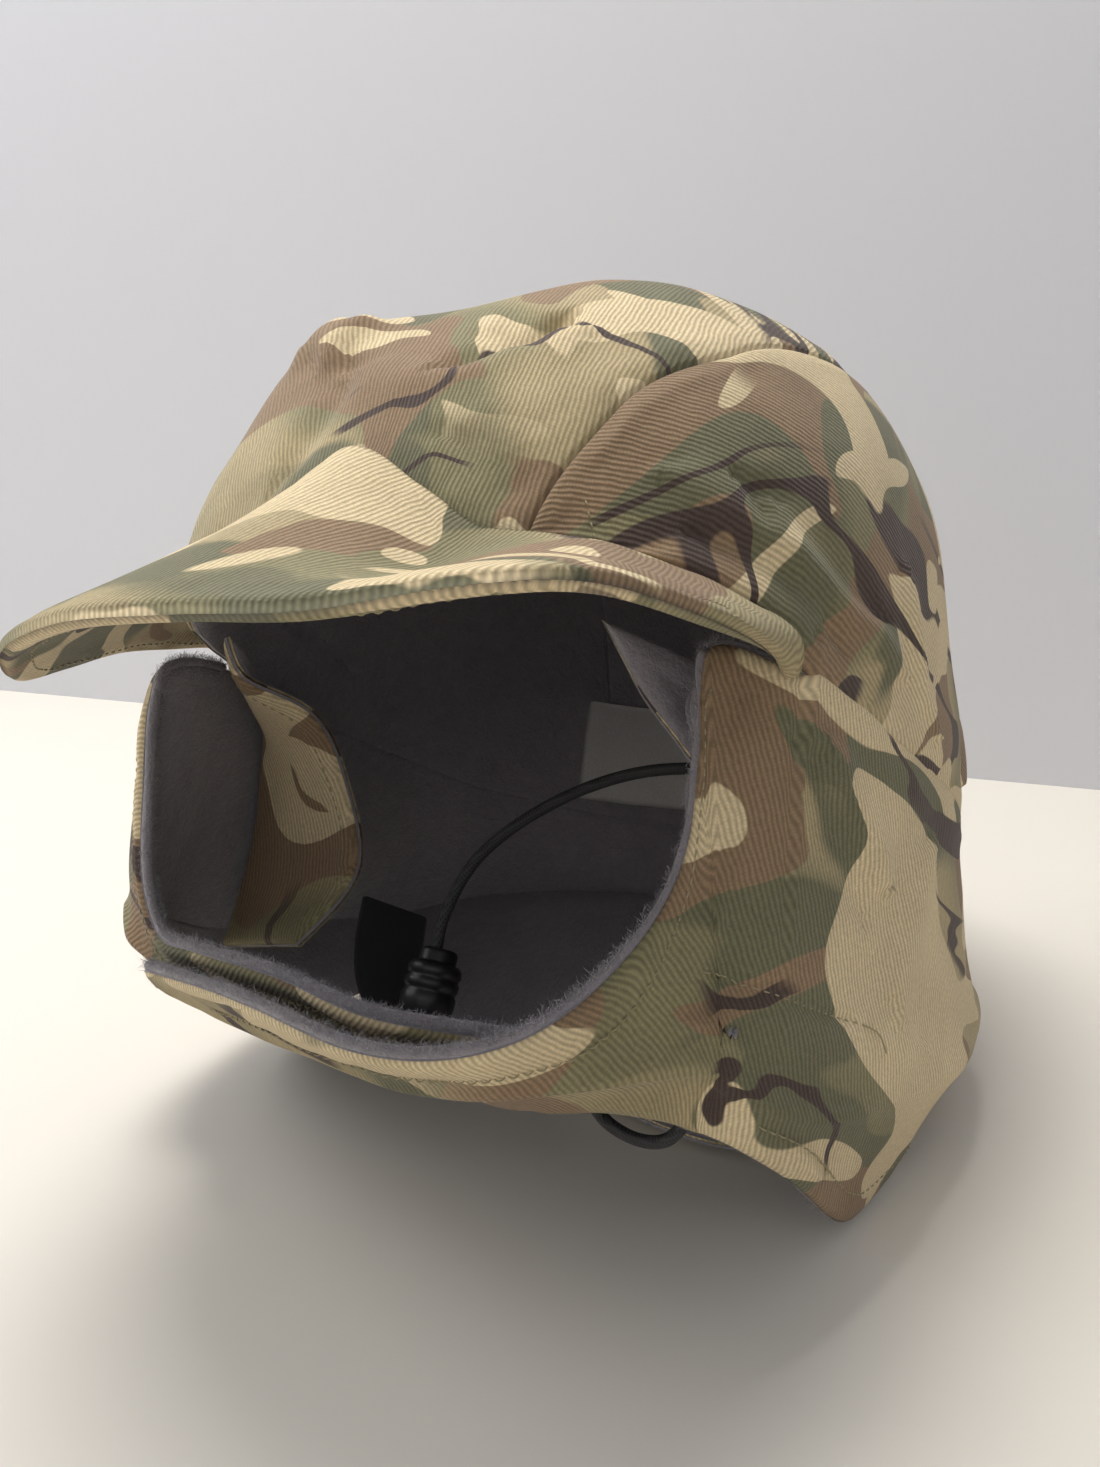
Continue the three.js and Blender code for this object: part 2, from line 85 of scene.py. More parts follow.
LEFT_CURTAIN = np.array([
    [0.004, 1.09, -0.385, 0.0, 1.17, -0.62, 0.0, 0.2, -1.21],
    [0.48, 1, -0.375, 0.54, 1.07, -0.68, 0.46, 0.17, -1.27],
    [0.81, 0.74, -0.345, 0.93, 0.8, -0.8, 0.78, 0.32, -1.26],
    [0.97, 0.4, -0.305, 1.07, 0.46, -0.95, 0.93, 0.34, -1.24],
    [1.005, 0.12, -0.26, 1.075, 0.12, -1.02, 0.945, 0.16, -1.325],
    [1, -0.02, -0.23, 1.06, -0.03, -1.04, 0.955, 0.02, -1.33],
    [0.98, -0.21, -0.195, 1.02, -0.22, -1.06, 0.965, -0.24, -1.215],
    [0.93, -0.38, -0.135, 0.96, -0.37, -1.04, 0.9, -0.375, -1.15],
    [0.77, -0.5, -0.1, 0.9, -0.45, -0.99, 0.85, -0.43, -1.125],
    [0.775, -0.505, -0.32, 0.875, -0.47, -0.98, 0.81, -0.445, -1.12],
    [0.775, -0.52, -0.56, 0.84, -0.52, -0.98, 0.77, -0.455, -1.115],
    [0.73, -0.59, -0.76, 0.78, -0.555, -1, 0.7, -0.465, -1.115],
    [0.665, -0.75, -0.93, 0.67, -0.645, -1.04, 0.6, -0.465, -1.12],
    [0.51, -0.84, -1.02, 0.48, -0.715, -1.09, 0.46, -0.447, -1.145],
    [0.27, -0.875, -1.045, 0.25, -0.73, -1.1, 0.25, -0.43, -1.16],
    [-0.08, -0.85, -1.01, -0.08, -0.715, -1.09, -0.06, -0.41, -1.16],
    [-0.32, -0.805, -1, -0.32, -0.7, -1.07, -0.31, -0.5, -1.12],
    [-0.67, -0.73, -1, -0.68, -0.69, -1.03, -0.66, -0.63, -1.055],
])
RIGHT_CURTAIN = np.array([
    [-0.004, 1.09, -0.385, 0.0, 1.17, -0.62, 0.0, 0.2, -1.21],
    [-0.48, 1, -0.375, -0.54, 1.07, -0.64, -0.46, 0.17, -1.17],
    [-0.81, 0.74, -0.345, -0.95, 0.8, -0.7, -0.78, 0.28, -1.1],
    [-0.98, 0.4, -0.305, -1.09, 0.45, -0.8, -0.97, 0.3, -1.07],
    [-1.02, 0.1, -0.25, -1.12, 0.06, -0.86, -1.01, 0.1, -1.155],
    [-1.02, -0.06, -0.22, -1.11, -0.08, -0.88, -1.01, -0.04, -1.17],
    [-1, -0.22, -0.195, -1.09, -0.27, -0.9, -1.02, -0.25, -1.12],
    [-0.96, -0.43, -0.14, -1.04, -0.46, -0.88, -0.98, -0.45, -1.04],
    [-0.84, -0.7, -0.185, -0.97, -0.58, -0.86, -0.93, -0.49, -1.04],
    [-0.825, -0.75, -0.3, -0.94, -0.62, -0.85, -0.9, -0.5, -1.04],
    [-0.79, -0.75, -0.52, -0.88, -0.64, -0.92, -0.83, -0.5, -1.06],
    [-0.76, -0.73, -0.76, -0.8, -0.64, -0.96, -0.77, -0.48, -1.07],
    [-0.68, -0.705, -0.91, -0.69, -0.64, -1, -0.66, -0.465, -1.075],
    [-0.46, -0.74, -0.93, -0.46, -0.66, -1, -0.46, -0.43, -1.06],
    [-0.1, -0.785, -0.945, -0.08, -0.68, -1.02, -0.06, -0.39, -1.07],
    [0.23, -0.8, -0.985, 0.23, -0.68, -1.04, 0.23, -0.41, -1.07],
    [0.56, -0.7, -0.985, 0.55, -0.61, -1.02, 0.53, -0.46, -1.05],
])
LEFT_EAR_FLAP = np.array([
    [0.5, -0.54, -0.05, 0.938, -0.16, -0.2],
    [0.56, -0.47, -0.17, 0.944, -0.12, -0.3],
    [0.65, -0.41, -0.28, 0.95, -0.1, -0.42],
    [0.76, -0.34, -0.42, 0.95, -0.12, -0.54],
])
RIGHT_EAR_FLAP = np.array([
    [-0.71, -0.64, -0.11, -0.916, -0.3, -0.2],
    [-0.68, -0.58, -0.21, -0.926, -0.28, -0.3],
    [-0.59, -0.41, -0.27, -0.946, -0.28, -0.42],
    [-0.51, -0.34, -0.43, -0.96, -0.26, -0.56],
    [-0.43, -0.32, -0.67, -0.975, -0.26, -0.72],
    [-0.58, -0.36, -0.89, -0.97, -0.3, -0.94],
])
CORD_ROUTE = [
    [0.92, 0.03, -0.42], [0.83, -0.06, -0.37], [0.7, -0.18, -0.33], [0.44, -0.22, -0.34], [0.18, -0.25, -0.44],
    [0, -0.3, -0.6], [-0.06, -0.33, -0.76], [-0.062, -0.338, -0.84],
]
LOOP_ROUTE = [
    [0.5, -0.53, -1.045], [0.505, -0.43, -1.06], [0.51, -0.385, -1.11], [0.56, -0.38, -1.15],
    [0.65, -0.38, -1.17], [0.72, -0.38, -1.155], [0.755, -0.375, -1.11], [0.76, -0.39, -1.045],
]

# ------------------------------------------------- from the cap to the table
_ls, _lb = math.radians(LEAN_SIDE), math.radians(LEAN_BACK)
UP = np.array([math.sin(_ls), -math.sin(_lb) * math.cos(_ls), math.cos(_lb) * math.cos(_ls)])
BEHIND = np.array([0.0, 1.0, 0.0]) - UP[1] * UP
BEHIND /= np.linalg.norm(BEHIND)
LEFT = np.cross(BEHIND, UP)
TURN = np.stack([LEFT, BEHIND, UP])
SHIFT = np.array([-CENTRE_X, -CENTRE_Y, HEADBAND_ABOVE_TABLE])


def on_table(points, lowest=LOWEST_SEEN):
    """Millimetres in the worn cap's frame to metres in the row frame."""
    placed = (np.asarray(points, float) @ TURN.T + SHIFT) / 1000.0
    placed[..., 2] = np.maximum(placed[..., 2], lowest)
    return placed


# ------------------------------------------------------------ camera, first
CAM_AZ, CAM_EL, CAM_ROLL, CAM_DIST, CAM_TX, CAM_TY = 36.34, -7.35, 7.45, 362.2, -8.5, -21.0
FOCAL_PX, IMAGE_H = 1274.0, 1467


def make_camera():
    a, e, r = (math.radians(x) for x in (CAM_AZ, CAM_EL, CAM_ROLL))
    back = np.array([math.sin(a) * math.cos(e), -math.cos(a) * math.cos(e), math.sin(e)])
    side = np.array([math.cos(a), math.sin(a), 0.0])
    top = np.cross(back, side)
    right = math.cos(r) * side + math.sin(r) * top
    up = -math.sin(r) * side + math.cos(r) * top
    eye = back * CAM_DIST + right * CAM_TX + up * CAM_TY
    data = bpy.data.cameras.new("camera")
    data.sensor_fit = "VERTICAL"
    data.sensor_height = 36.0
    data.lens = 36.0 * FOCAL_PX / IMAGE_H
    data.clip_start = 0.01
    cam = bpy.data.objects.new("camera", data)
    bpy.context.scene.collection.objects.link(cam)
    axes = np.stack([TURN @ right, TURN @ up, TURN @ back], 1)
    place = Matrix([list(axes[i]) + [0.0] for i in range(3)] + [[0, 0, 0, 1]])
    cam.matrix_world = Matrix.Translation(Vector(on_table(eye))) @ place
    bpy.context.scene.camera = cam


make_camera()


# --------------------------------------------------------------- mesh helpers
def add_object(name, verts, faces, uv=None, smooth=True):
    """Mesh object from arrays, with its cloth coordinates in metres."""
    mesh = bpy.data.meshes.new(name)
    verts = np.asarray(verts, np.float32)
    faces = np.asarray(faces, np.int32)
    mesh.vertices.add(len(verts))
    mesh.vertices.foreach_set("co", verts.ravel())
    size = faces.shape[1]
    mesh.loops.add(faces.size)
    mesh.loops.foreach_set("vertex_index", faces.ravel())
    mesh.polygons.add(len(faces))
    mesh.polygons.foreach_set("loop_start", np.arange(0, faces.size, size, dtype=np.int32))
    mesh.polygons.foreach_set("loop_total", np.full(len(faces), size, np.int32))
    mesh.polygons.foreach_set("use_smooth", np.full(len(faces), smooth, bool))
    if uv is not None:
        layer = mesh.uv_layers.new(name="cloth")
        layer.data.foreach_set("uv", np.asarray(uv, np.float32)[faces.ravel()].ravel())
    mesh.update(calc_edges=True)
    mesh.validate()
    obj = bpy.data.objects.new(name, mesh)
    bpy.context.scene.collection.objects.link(obj)
    return obj


def smoothstep(a, b, x):
    t = np.clip((x - a) / (b - a), 0, 1)
    return t * t * (3 - 2 * t)


def along_rows(rows, share):
    """Smooth curve through the rows of a table, at each share."""
    last = len(rows) - 1
    place = np.clip(share, 0, 1) * last
    i = np.minimum(np.floor(place).astype(int), last - 1)
    t = (place - i)[..., None]
    a, b, c, d = (rows[np.clip(i + k, 0, last)] for k in (-1, 0, 1, 2))
    before, after = (c - a) / 2, (d - b) / 2
    t2, t3 = t * t, t * t * t
    return (2 * t3 - 3 * t2 + 1) * b + (t3 - 2 * t2 + t) * before + (3 * t2 - 2 * t3) * c + (t3 - t2) * after


def table_value(table, x):
    x = np.asarray(x, float)
    i = np.clip(np.searchsorted(table[:, 0], x, side="left"), 1, len(table) - 1)
    t = np.clip((x - table[i - 1, 0]) / (table[i, 0] - table[i - 1, 0]), 0, 1)
    s = (t + t * t * (3 - 2 * t)) / 2
    return table[i - 1, 1] + (table[i, 1] - table[i - 1, 1]) * s


# ------------------------------------------------------------ the cap's forms
def plan_share(x, y):
    """1 on the headband's outline, less inside it."""
    reach = np.where(y < 0, FRONT_REACH, BACK_REACH)
    return (np.abs(x / HALF_WIDTH) ** PLAN_POWER + np.abs(y / reach) ** PLAN_POWER) ** (1 / PLAN_POWER)


def ring_point(angle):
    s, c = np.sin(angle), -np.cos(angle)
    q = plan_share(s, c)
    return s / q, c / q


def seam_height(angle):
    return table_value(SEAM_HEIGHTS, np.degrees(angle)) * CURTAIN_DROP


def crown_share(x, y, z):
    q = plan_share(x, y)
    power = 2.35 + 0.6 * y / (np.hypot(x, y) + 1e-6)
    high = (q ** power + (np.maximum(z, 1e-9) / CROWN_HEIGHT) ** power) ** (1 / power)
    return np.where(z <= 0, q, high)


def dented(p):
    away = p.copy()
    away[..., 2] = np.maximum(away[..., 2], 0)
    away /= np.linalg.norm(away, axis=-1, keepdims=True)
    out = p.copy()
    for x, y, z, radius, depth in CROWN_DENTS:
        middle = np.array([x * HALF_WIDTH, y * BACK_REACH, z * CROWN_HEIGHT])
        far = ((p - middle) ** 2).sum(-1) / (radius * CROWN_HEIGHT) ** 2
        out = out + away * (depth * CROWN_HEIGHT * np.exp(-far))[..., None]
    return out


def crown_ray(p):
    return p / crown_share(p[..., 0], p[..., 1], p[..., 2])[..., None]


def strip_point(x, turn):
    low, high = np.zeros_like(turn), np.full_like(turn, 300.0)
    for _ in range(36):
        r = (low + high) / 2
        inside = crown_share(x, -r * np.cos(turn), r * np.sin(turn)) < 1
        low, high = np.where(inside, r, low), np.where(inside, high, r)
    return np.stack([x, -low * np.cos(turn), low * np.sin(turn)], -1)


def ring_angle_at(x, behind):
    reach = BACK_REACH if behind else FRONT_REACH
    y = reach * np.maximum(1 - np.abs(x / HALF_WIDTH) ** PLAN_POWER, 1e-9) ** (1 / PLAN_POWER)
    angle = np.arctan2(np.abs(x), y)
    return np.where(x < 0, -1, 1) * ((math.pi - angle) if behind else angle)


def strip_half(v):
    return table_value(STRIP_WIDTHS, v) * STRIP_HALF


def strip_turn(x, v):
    front, behind = ring_angle_at(x, False), ring_angle_at(x, True)
    a = np.arctan2(seam_height(front), -ring_point(front)[1])
    b = math.pi - np.arctan2(seam_height(behind), ring_point(behind)[1])
    return a + (b - a) * v


def centre_panel(u, v):
    x = (2 * u - 1) * strip_half(v)
    return dented(strip_point(x, strip_turn(x, v)))


def side_panel(side):
    def surface(u, v):
        along = 0.004 + 0.992 * u
        x = side * strip_half(along)
        top = strip_point(x, strip_turn(x, along))
        one = np.ones_like(u)
        start = ring_angle_at(side * strip_half(0 * one), False)
        end = ring_angle_at(side * strip_half(one), True)
        angle = start + (end - start) * u
        rx, ry = ring_point(angle)
        low = np.stack([rx, ry, seam_height(angle)], -1)
        return dented(crown_ray(low + (top - low) * v[..., None]))
    return surface


def curtain(rows):
    side = math.copysign(1.0, rows[3][3])
    joined = RING_ROWS / (len(rows) - 1)

    def surface(u, v):
        section = along_rows(rows, u)
        size = np.array([HALF_WIDTH, FRONT_REACH, CURTAIN_DROP])
        angle = math.pi + (math.radians(JOIN_ANGLE) - math.pi) * np.minimum(u / joined, 1)
        rx, ry = ring_point(angle * side)
        ring = dented(np.stack([rx, ry, seam_height(angle * side) + CURTAIN_TUCK], -1))
        top = np.where((u > joined)[..., None], section[..., 0:3] * size, ring)
        crease, hem = section[..., 3:6] * size, section[..., 6:9] * size
        t = v[..., None]
        upper = top + (crease - top) * (t / FOLD_SHARE)
        lower = crease + (hem - crease) * ((t - FOLD_SHARE) / (1 - FOLD_SHARE))
        wide = 0.025 + 0.07 * (1 - smoothstep(0.12, 0.3, u))[..., None]
        soft = smoothstep(-wide, wide, t - FOLD_SHARE)
        return upper * (1 - soft) + lower * soft
    return surface


def ear_flap(rows):
    def surface(u, v):
        section = along_rows(rows, v)
        size = np.array([HALF_WIDTH, FRONT_REACH, CURTAIN_DROP])
        front, rear = section[..., 0:3] * size, section[..., 3:6] * size
        return front + (rear - front) * u[..., None]
    return surface


def peak_surface(u, v):
    share = 2 * u - 1
    angle = math.radians(PEAK_END_ANGLE) * share
    rx, ry = ring_point(angle)
    out = 0.99 + 0.02 * share ** 4
    foot = dented(np.stack([rx, ry, seam_height(angle) + 0.2], -1))
    foot = foot * np.stack([out, out, np.ones_like(out)], -1)
    foot[..., 2] += RIGHT_END_LIFT * np.clip(np.maximum(-share - 0.5, 0) * 2.5, 0, 1)
    edge = along_rows(PEAK_EDGE, u)
    tip = np.stack([
        edge[..., 1] * HALF_WIDTH, -FRONT_REACH - edge[..., 2] * PEAK_REACH, -edge[..., 3] * PEAK_DROP,
    ], -1)
    point = foot + (tip - foot) * v[..., None]
    arch = PEAK_ARCH * np.sin(np.pi * np.minimum(v * 0.9 + 0.05, 1)) * (1 - share ** 2)
    ridge = 7 * np.exp(-(((share - 0.13) / 0.12) ** 2)) * (1 - v) ** 2
    sag = -9 * np.exp(-(((share - 0.36) / 0.12) ** 2)) * np.sin(np.pi * v) * (1 - v)
    point[..., 2] += arch + ridge + sag
    return point


def label_surface(u, v):
    angle = np.radians(LABEL_FROM + (LABEL_TO - LABEL_FROM) * u)
    rx, ry = ring_point(angle)
    return dented(crown_ray(np.stack([rx, ry, LABEL_LOW + (LABEL_HIGH - LABEL_LOW) * v], -1)))


# ------------------------------------------------------------- value noise 3D
_LATTICE = RNG.random((32, 32, 32)) * 2 - 1


def noise(p, scale):
    """Smooth value noise of points in mm, feature size scale in mm, from -1 to 1."""
    q = np.asarray(p) / scale
    i = np.floor(q).astype(int)
    f = q - i
    f = f * f * (3 - 2 * f)
    total = 0
    for dx in (0, 1):
        for dy in (0, 1):
            for dz in (0, 1):
                w = (np.where(dx, f[..., 0], 1 - f[..., 0]) * np.where(dy, f[..., 1], 1 - f[..., 1])
                     * np.where(dz, f[..., 2], 1 - f[..., 2]))
                total = total + w * _LATTICE[(i[..., 0] + dx) % 32, (i[..., 1] + dy) % 32, (i[..., 2] + dz) % 32]
    return total


# Folds and creases: polyline in mm, width, height (+ stands out)
FOLDS = [
    ([[84, -57, 21], [88, -50, 14], [93, -34, 5], [95, -19, 0], [96, -4, -6]], 5.5, 1.6),  # side ridge
    ([[95, -7, 22], [96, -1, 9], [96, 9, -6], [96, 23, -16]], 5.0, 1.3),  # side fold
    ([[79, -64, 25], [86, -52, 18], [92, -37, 11], [96, -15, 5]], 5.0, -1.3),  # side valley
    ([[70, -79, 21], [78, -69, 17], [88, -52, 9], [92, -39, -5]], 6.0, 1.0),  # side fan, top
    ([[70, -82, 2], [78, -72, 1], [86, -57, -1], [91, -41, -8]], 5.0, 1.3),  # side fan, middle
    ([[76, -75, 9], [83, -62, 9], [90, -47, 4], [94, -31, -6]], 4.0, -1.0),  # side fan, valley
    ([[19, -96, 42], [24, -90, 48], [30, -80, 57], [35, -69, 67]], 4.5, -2.4),  # crown crease
    ([[-10, -95, 47], [13, -98, 39], [26, -94, 42], [37, -82, 52], [44, -74, 58]], 8.0, 1.5),  # crown ridge
    ([[-16, -90, 56], [-6, -99, 40], [-8, -106, 26], [-10, -110, 15]], 6.0, -1.8),  # crown front
    ([[30, -102, 25], [45, -99, 17], [53, -96, 10]], 7.0, -1.2),  # crown low
    ([[93, -36, -26], [95, -26, -36], [97, -13, -48], [98, -4, -56]], 6.0, 1.5),  # curtain, soft fold
    ([[90, -43, -28], [94, -33, -39], [96, -22, -51], [98, -14, -64]], 7.0, -1.0),  # curtain, valley
    ([[81, -51, -22], [83, -50, -39], [83, -51, -56], [81, -54, -69]], 5.0, 0.8),  # curtain, by the opening
    ([[80, -56, -79], [86, -49, -80], [94, -37, -83], [99, -14, -87]], 1.3, -0.8),  # curtain, dart
    ([[81, -57, -89], [92, -42, -92], [99, -16, -93], [102, 20, -92]], 9.0, 1.2),  # curtain, puff
    ([[98, 19, -42], [99, 12, -57], [100, 4, -71], [101, 2, -85]], 9.0, 1.4),  # curtain, middle
    ([[85, -51, -101], [91, -40, -109], [94, -20, -120]], 6.0, 0.8),  # curtain, low
    ([[26, -124, 7], [40, -137, -11], [52, -149, -24]], 9.0, 1.2),  # peak hump
    ([[38, -116, 2], [53, -132, -14], [67, -147, -25]], 7.0, -1.2),  # peak valley
    ([[75, -126, -13], [83, -114, -12], [88, -95, -11], [89, -75, -11]], 4.0, 0.8),  # peak, left end
]
# The right side is like the left one, a little weaker and further back
FOLDS += [([[-x, y + 6, z + 3] for x, y, z in line], width * 1.2, height * 0.8) for line, width, height in FOLDS[:6]]
FOLDS += [
    ([[-30, -86, 56], [-18, -84, 64]], 22, 2.6),  # crown, front right swell
    ([[22, -84, 60], [34, -74, 64]], 16, -1.4),  # crown, front left hollow
    ([[60, 100, 30], [78, 84, 5], [88, 70, -20]], 7, 1.6),  # back left
    ([[-20, 118, 20], [-35, 112, -10], [-50, 104, -40]], 8, 1.5),  # nape
]
FOLD_STRENGTH = 1.6


def fold_height(p):
    total = np.zeros(p.shape[:-1])
    for line, width, height in FOLDS:
        line = np.asarray(line, float)
        best = np.full(p.shape[:-1], 1e9)
        for k in range(len(line) - 1):
            a, b = line[k], line[k + 1]
            d = b - a
            t = np.clip(((p - a) @ d) / (d @ d), 0, 1)
            near = a + t[..., None] * d
            far = np.linalg.norm(p - near, axis=-1)
            taper = np.ones_like(t)
            if k == 0:
                taper = smoothstep(-0.1, 0.6, t)
            if k == len(line) - 2:
                taper = taper * smoothstep(-0.1, 0.6, 1 - t)
            best = np.minimum(best, far / np.maximum(taper, 0.25))
        total = total + FOLD_STRENGTH * height * np.exp(-(best / width) ** 2)
    return total


# -------------------------------------------------------------- cloth pieces
class Grid:
    """A surface sampled finely, with normals and distances from its edges."""

    def __init__(self, surface, us, vs, outward, crumple=0.5, folds=True):
        u, v = np.meshgrid(us, vs, indexing="ij")
        self.us, self.vs = us, vs
        self.base = surface(u, v)
        self.outward = outward
        self._normals()
        extra = crumple * (noise(self.base, 34.0) * 1.9 + noise(self.base + 50, 15.0) * 0.8)
        if folds:
            extra = extra + fold_height(self.base)
        sewn = self.edge(["u0", "u1", "v0", "v1"])
        extra = extra + 0.45 * noise(self.base + 90, 6.0) * np.exp(-((sewn - 6) / 4.0) ** 2)
        self.base = self.base + self.normal * (extra * self.calm())[..., None]
        self._normals()

    def _normals(self):
        p = self.base
        du = np.gradient(p, axis=0)
        dv = np.gradient(p, axis=1)
        n = np.cross(du, dv)
        n /= np.linalg.norm(n, axis=-1, keepdims=True) + 1e-12
        self.normal = n * self.outward
        step_u = np.linalg.norm(np.diff(p, axis=0), axis=-1)
        step_v = np.linalg.norm(np.diff(p, axis=1), axis=-1)
        self.from_u0 = np.concatenate([np.zeros((1, p.shape[1])), np.cumsum(step_u, 0)])
        self.from_v0 = np.concatenate([np.zeros((p.shape[0], 1)), np.cumsum(step_v, 1)], 1)
        self.from_u1 = self.from_u0[-1:] - self.from_u0
        self.from_v1 = self.from_v0[:, -1:] - self.from_v0

    def edge(self, names):
        parts = {"u0": self.from_u0, "u1": self.from_u1, "v0": self.from_v0, "v1": self.from_v1}
        far = np.full(self.base.shape[:2], 1e9)
        for n in names:
            far = np.minimum(far, parts[n])
        return far

    def calm(self):
        """Crumples fade out where the cloth is sewn."""
        return smoothstep(0, 7, self.edge(["u0", "u1", "v0", "v1"]))

    def at(self, u, v):
        """Point and normal at shares along the grid."""
        iu = np.interp(u, self.us, np.arange(len(self.us)))
        iv = np.interp(v, self.vs, np.arange(len(self.vs)))
        i = np.minimum(iu.astype(int), len(self.us) - 2)
        j = np.minimum(iv.astype(int), len(self.vs) - 2)
        a, b = (iu - i)[:, None], (iv - j)[:, None]

        def pick(g):
            return ((1 - a) * (1 - b) * g[i, j] + a * (1 - b) * g[i + 1, j]
                    + (1 - a) * b * g[i, j + 1] + a * b * g[i + 1, j + 1])
        n = pick(self.normal)
        return pick(self.face), n / np.linalg.norm(n, axis=1, keepdims=True)


def spread(count, fine=(0.0, 0.004, 0.009, 0.016, 0.025, 0.037)):
    """Shares from 0 to 1 with extra ones close to both ends."""
    fine = np.array(fine)
    return np.concatenate([fine, np.linspace(fine[-1], 1 - fine[-1], count)[1:-1], 1 - fine[::-1]])


def round_off(far, radius):
    t = np.clip(far / radius, 0, 1)
    return np.sqrt(np.maximum(1 - (1 - t) ** 2, 0))


def quads(nu, nv, flip):
    i, j = np.meshgrid(np.arange(nu - 1), np.arange(nv - 1), indexing="ij")
    a = (i * nv + j).ravel()
    f = np.stack([a, a + nv, a + nv + 1, a + 1], 1)
    return f[:, ::-1] if flip else f


def ring_faces(count, sides):
    """Faces between count rings of sides points each."""
    i, j = (m.ravel() for m in np.meshgrid(np.arange(count - 1), np.arange(sides), indexing="ij"))
    k = (j + 1) % sides
    return np.stack([i * sides + j, i * sides + k, (i + 1) * sides + k, (i + 1) * sides + j], 1)


def flattened(grid, nu=56, nv=20, rounds=500):
    """The surface pressed flat like cloth: lengths kept as well as can be."""
    iu = np.linspace(0, grid.base.shape[0] - 1, nu).round().astype(int)
    iv = np.linspace(0, grid.base.shape[1] - 1, nv).round().astype(int)
    p = grid.base[np.ix_(iu, iv)]
    mid = grid.base.shape[1] // 2
    s = grid.from_u0[iu][:, mid:mid + 1] + 0 * p[..., 0]
    m = grid.from_v0[np.ix_(iu, iv)]
    q = np.stack([s, m - m.mean(1, keepdims=True) + m.mean()], -1)
    pairs = []
    for du, dv in ((1, 0), (0, 1), (1, 1), (1, -1)):
        a = (slice(0, nu - du), slice(max(0, -dv), nv - max(0, dv)))
        b = (slice(du, nu), slice(max(0, dv), nv + min(0, dv)))
        pairs.append((a, b, np.linalg.norm(p[b] - p[a], axis=-1)))
    for _ in range(rounds):
        push = np.zeros_like(q)
        for a, b, rest in pairs:
            d = q[b] - q[a]
            size = np.linalg.norm(d, axis=-1)
            fix = (0.11 * (size - rest) / np.maximum(size, 1e-6))[..., None] * d
            push[a] += fix
            push[b] -= fix
        q = q + push
    full_u, full_v = np.arange(grid.base.shape[0]), np.arange(grid.base.shape[1])
    rows = np.stack([np.stack([np.interp(full_u, iu, q[:, j, k]) for j in range(nv)], 1) for k in (0, 1)], -1)
    return np.stack([np.stack([np.interp(full_v, iv, rows[i, :, k]) for i in full_u], 0) for k in (0, 1)], -1)


def cloth_uv(grid, origin, turn):
    flat = flattened(grid) / 1000
    s, t = flat[..., 0], flat[..., 1]
    c, k = math.cos(turn), math.sin(turn)
    return np.stack([origin[0] + c * s - k * t, origin[1] + k * s + c * t], -1).reshape(-1, 2)


def shell_faces(nu, nv, flip):
    """Both faces of a closed sheet and the rim between them."""
    n = nu * nv
    idx = np.arange(n).reshape(nu, nv)
    loop = np.concatenate([idx[:-1, 0], idx[-1, :-1], idx[:0:-1, -1], idx[0, :0:-1]])
    after = np.roll(loop, -1)
    rim = np.stack([loop, loop + n, after + n, after], 1)
    return np.concatenate([quads(nu, nv, flip), quads(nu, nv, not flip) + n, rim if flip else rim[:, ::-1]])


def sheet_object(name, grid, offset, thickness, uv, inner=False):
    """A closed sheet whose seen face lies off the grid by offset (mm, array)."""
    p = grid.base + grid.normal * offset[..., None]
    back = p + grid.normal * (thickness if inner else -thickness)
    seen_low, back_low = (LOWEST_PILE, LOWEST_PILE_BACK) if inner else (LOWEST_SEEN, LOWEST_BACK)
    verts = np.concatenate([on_table(p.reshape(-1, 3), seen_low), on_table(back.reshape(-1, 3), back_low)])
    faces = shell_faces(*p.shape[:2], (grid.outward < 0) != inner)
    return add_object(name, verts, faces, np.concatenate([uv, uv]))


# ------------------------------------------------------------------- stitches
STITCHES = {"v": [], "f": [], "n": 0}


def add_tube(store, path, radius, sides=6):
    """A round tube along path (mm), added to a store of faces."""
    path = np.asarray(path, float)
    t = np.gradient(path, axis=0)
    t /= np.linalg.norm(t, axis=1, keepdims=True) + 1e-12
    ref = np.array([0.31, 0.22, 0.92])
    a = np.cross(t, ref)
    a /= np.linalg.norm(a, axis=1, keepdims=True) + 1e-12
    b = np.cross(t, a)
    ang = np.arange(sides) * 2 * math.pi / sides
    r = np.full(len(path), radius) if np.isscalar(radius) else np.asarray(radius)
    spoke = np.cos(ang)[None, :, None] * a[:, None] + np.sin(ang)[None, :, None] * b[:, None]
    ring = path[:, None] + r[:, None, None] * spoke
    base = store["n"]
    store["v"].append(ring.reshape(-1, 3))
    k = len(path)
    store["f"].append(ring_faces(k, sides) + base)
    store["n"] += k * sides


def stitch_line(points, normals, pitch=2.9, length=2.2, radius=0.2, lift=0.02):
    points, normals = np.asarray(points), np.asarray(normals)
    step = np.concatenate([[0], np.cumsum(np.linalg.norm(np.diff(points, axis=0), axis=1))])
    total = step[-1]
    for s in np.arange(pitch / 2, total - pitch / 2, pitch):
        w = np.linspace(s - length / 2, s + length / 2, 5)
        p = np.stack([np.interp(w, step, points[:, k]) for k in range(3)], 1)
        n = np.stack([np.interp(w, step, normals[:, k]) for k in range(3)], 1)
        bow = np.array([-0.45, 0.02, 0.16, 0.02, -0.45])
        add_tube(STITCHES, p + n * (lift + bow)[:, None], radius * np.array([0.55, 1, 1.05, 1, 0.55]))


# ----------------------------------------------------------------------- fuzz
FUZZ = {"v": [], "f": [], "n": 0}


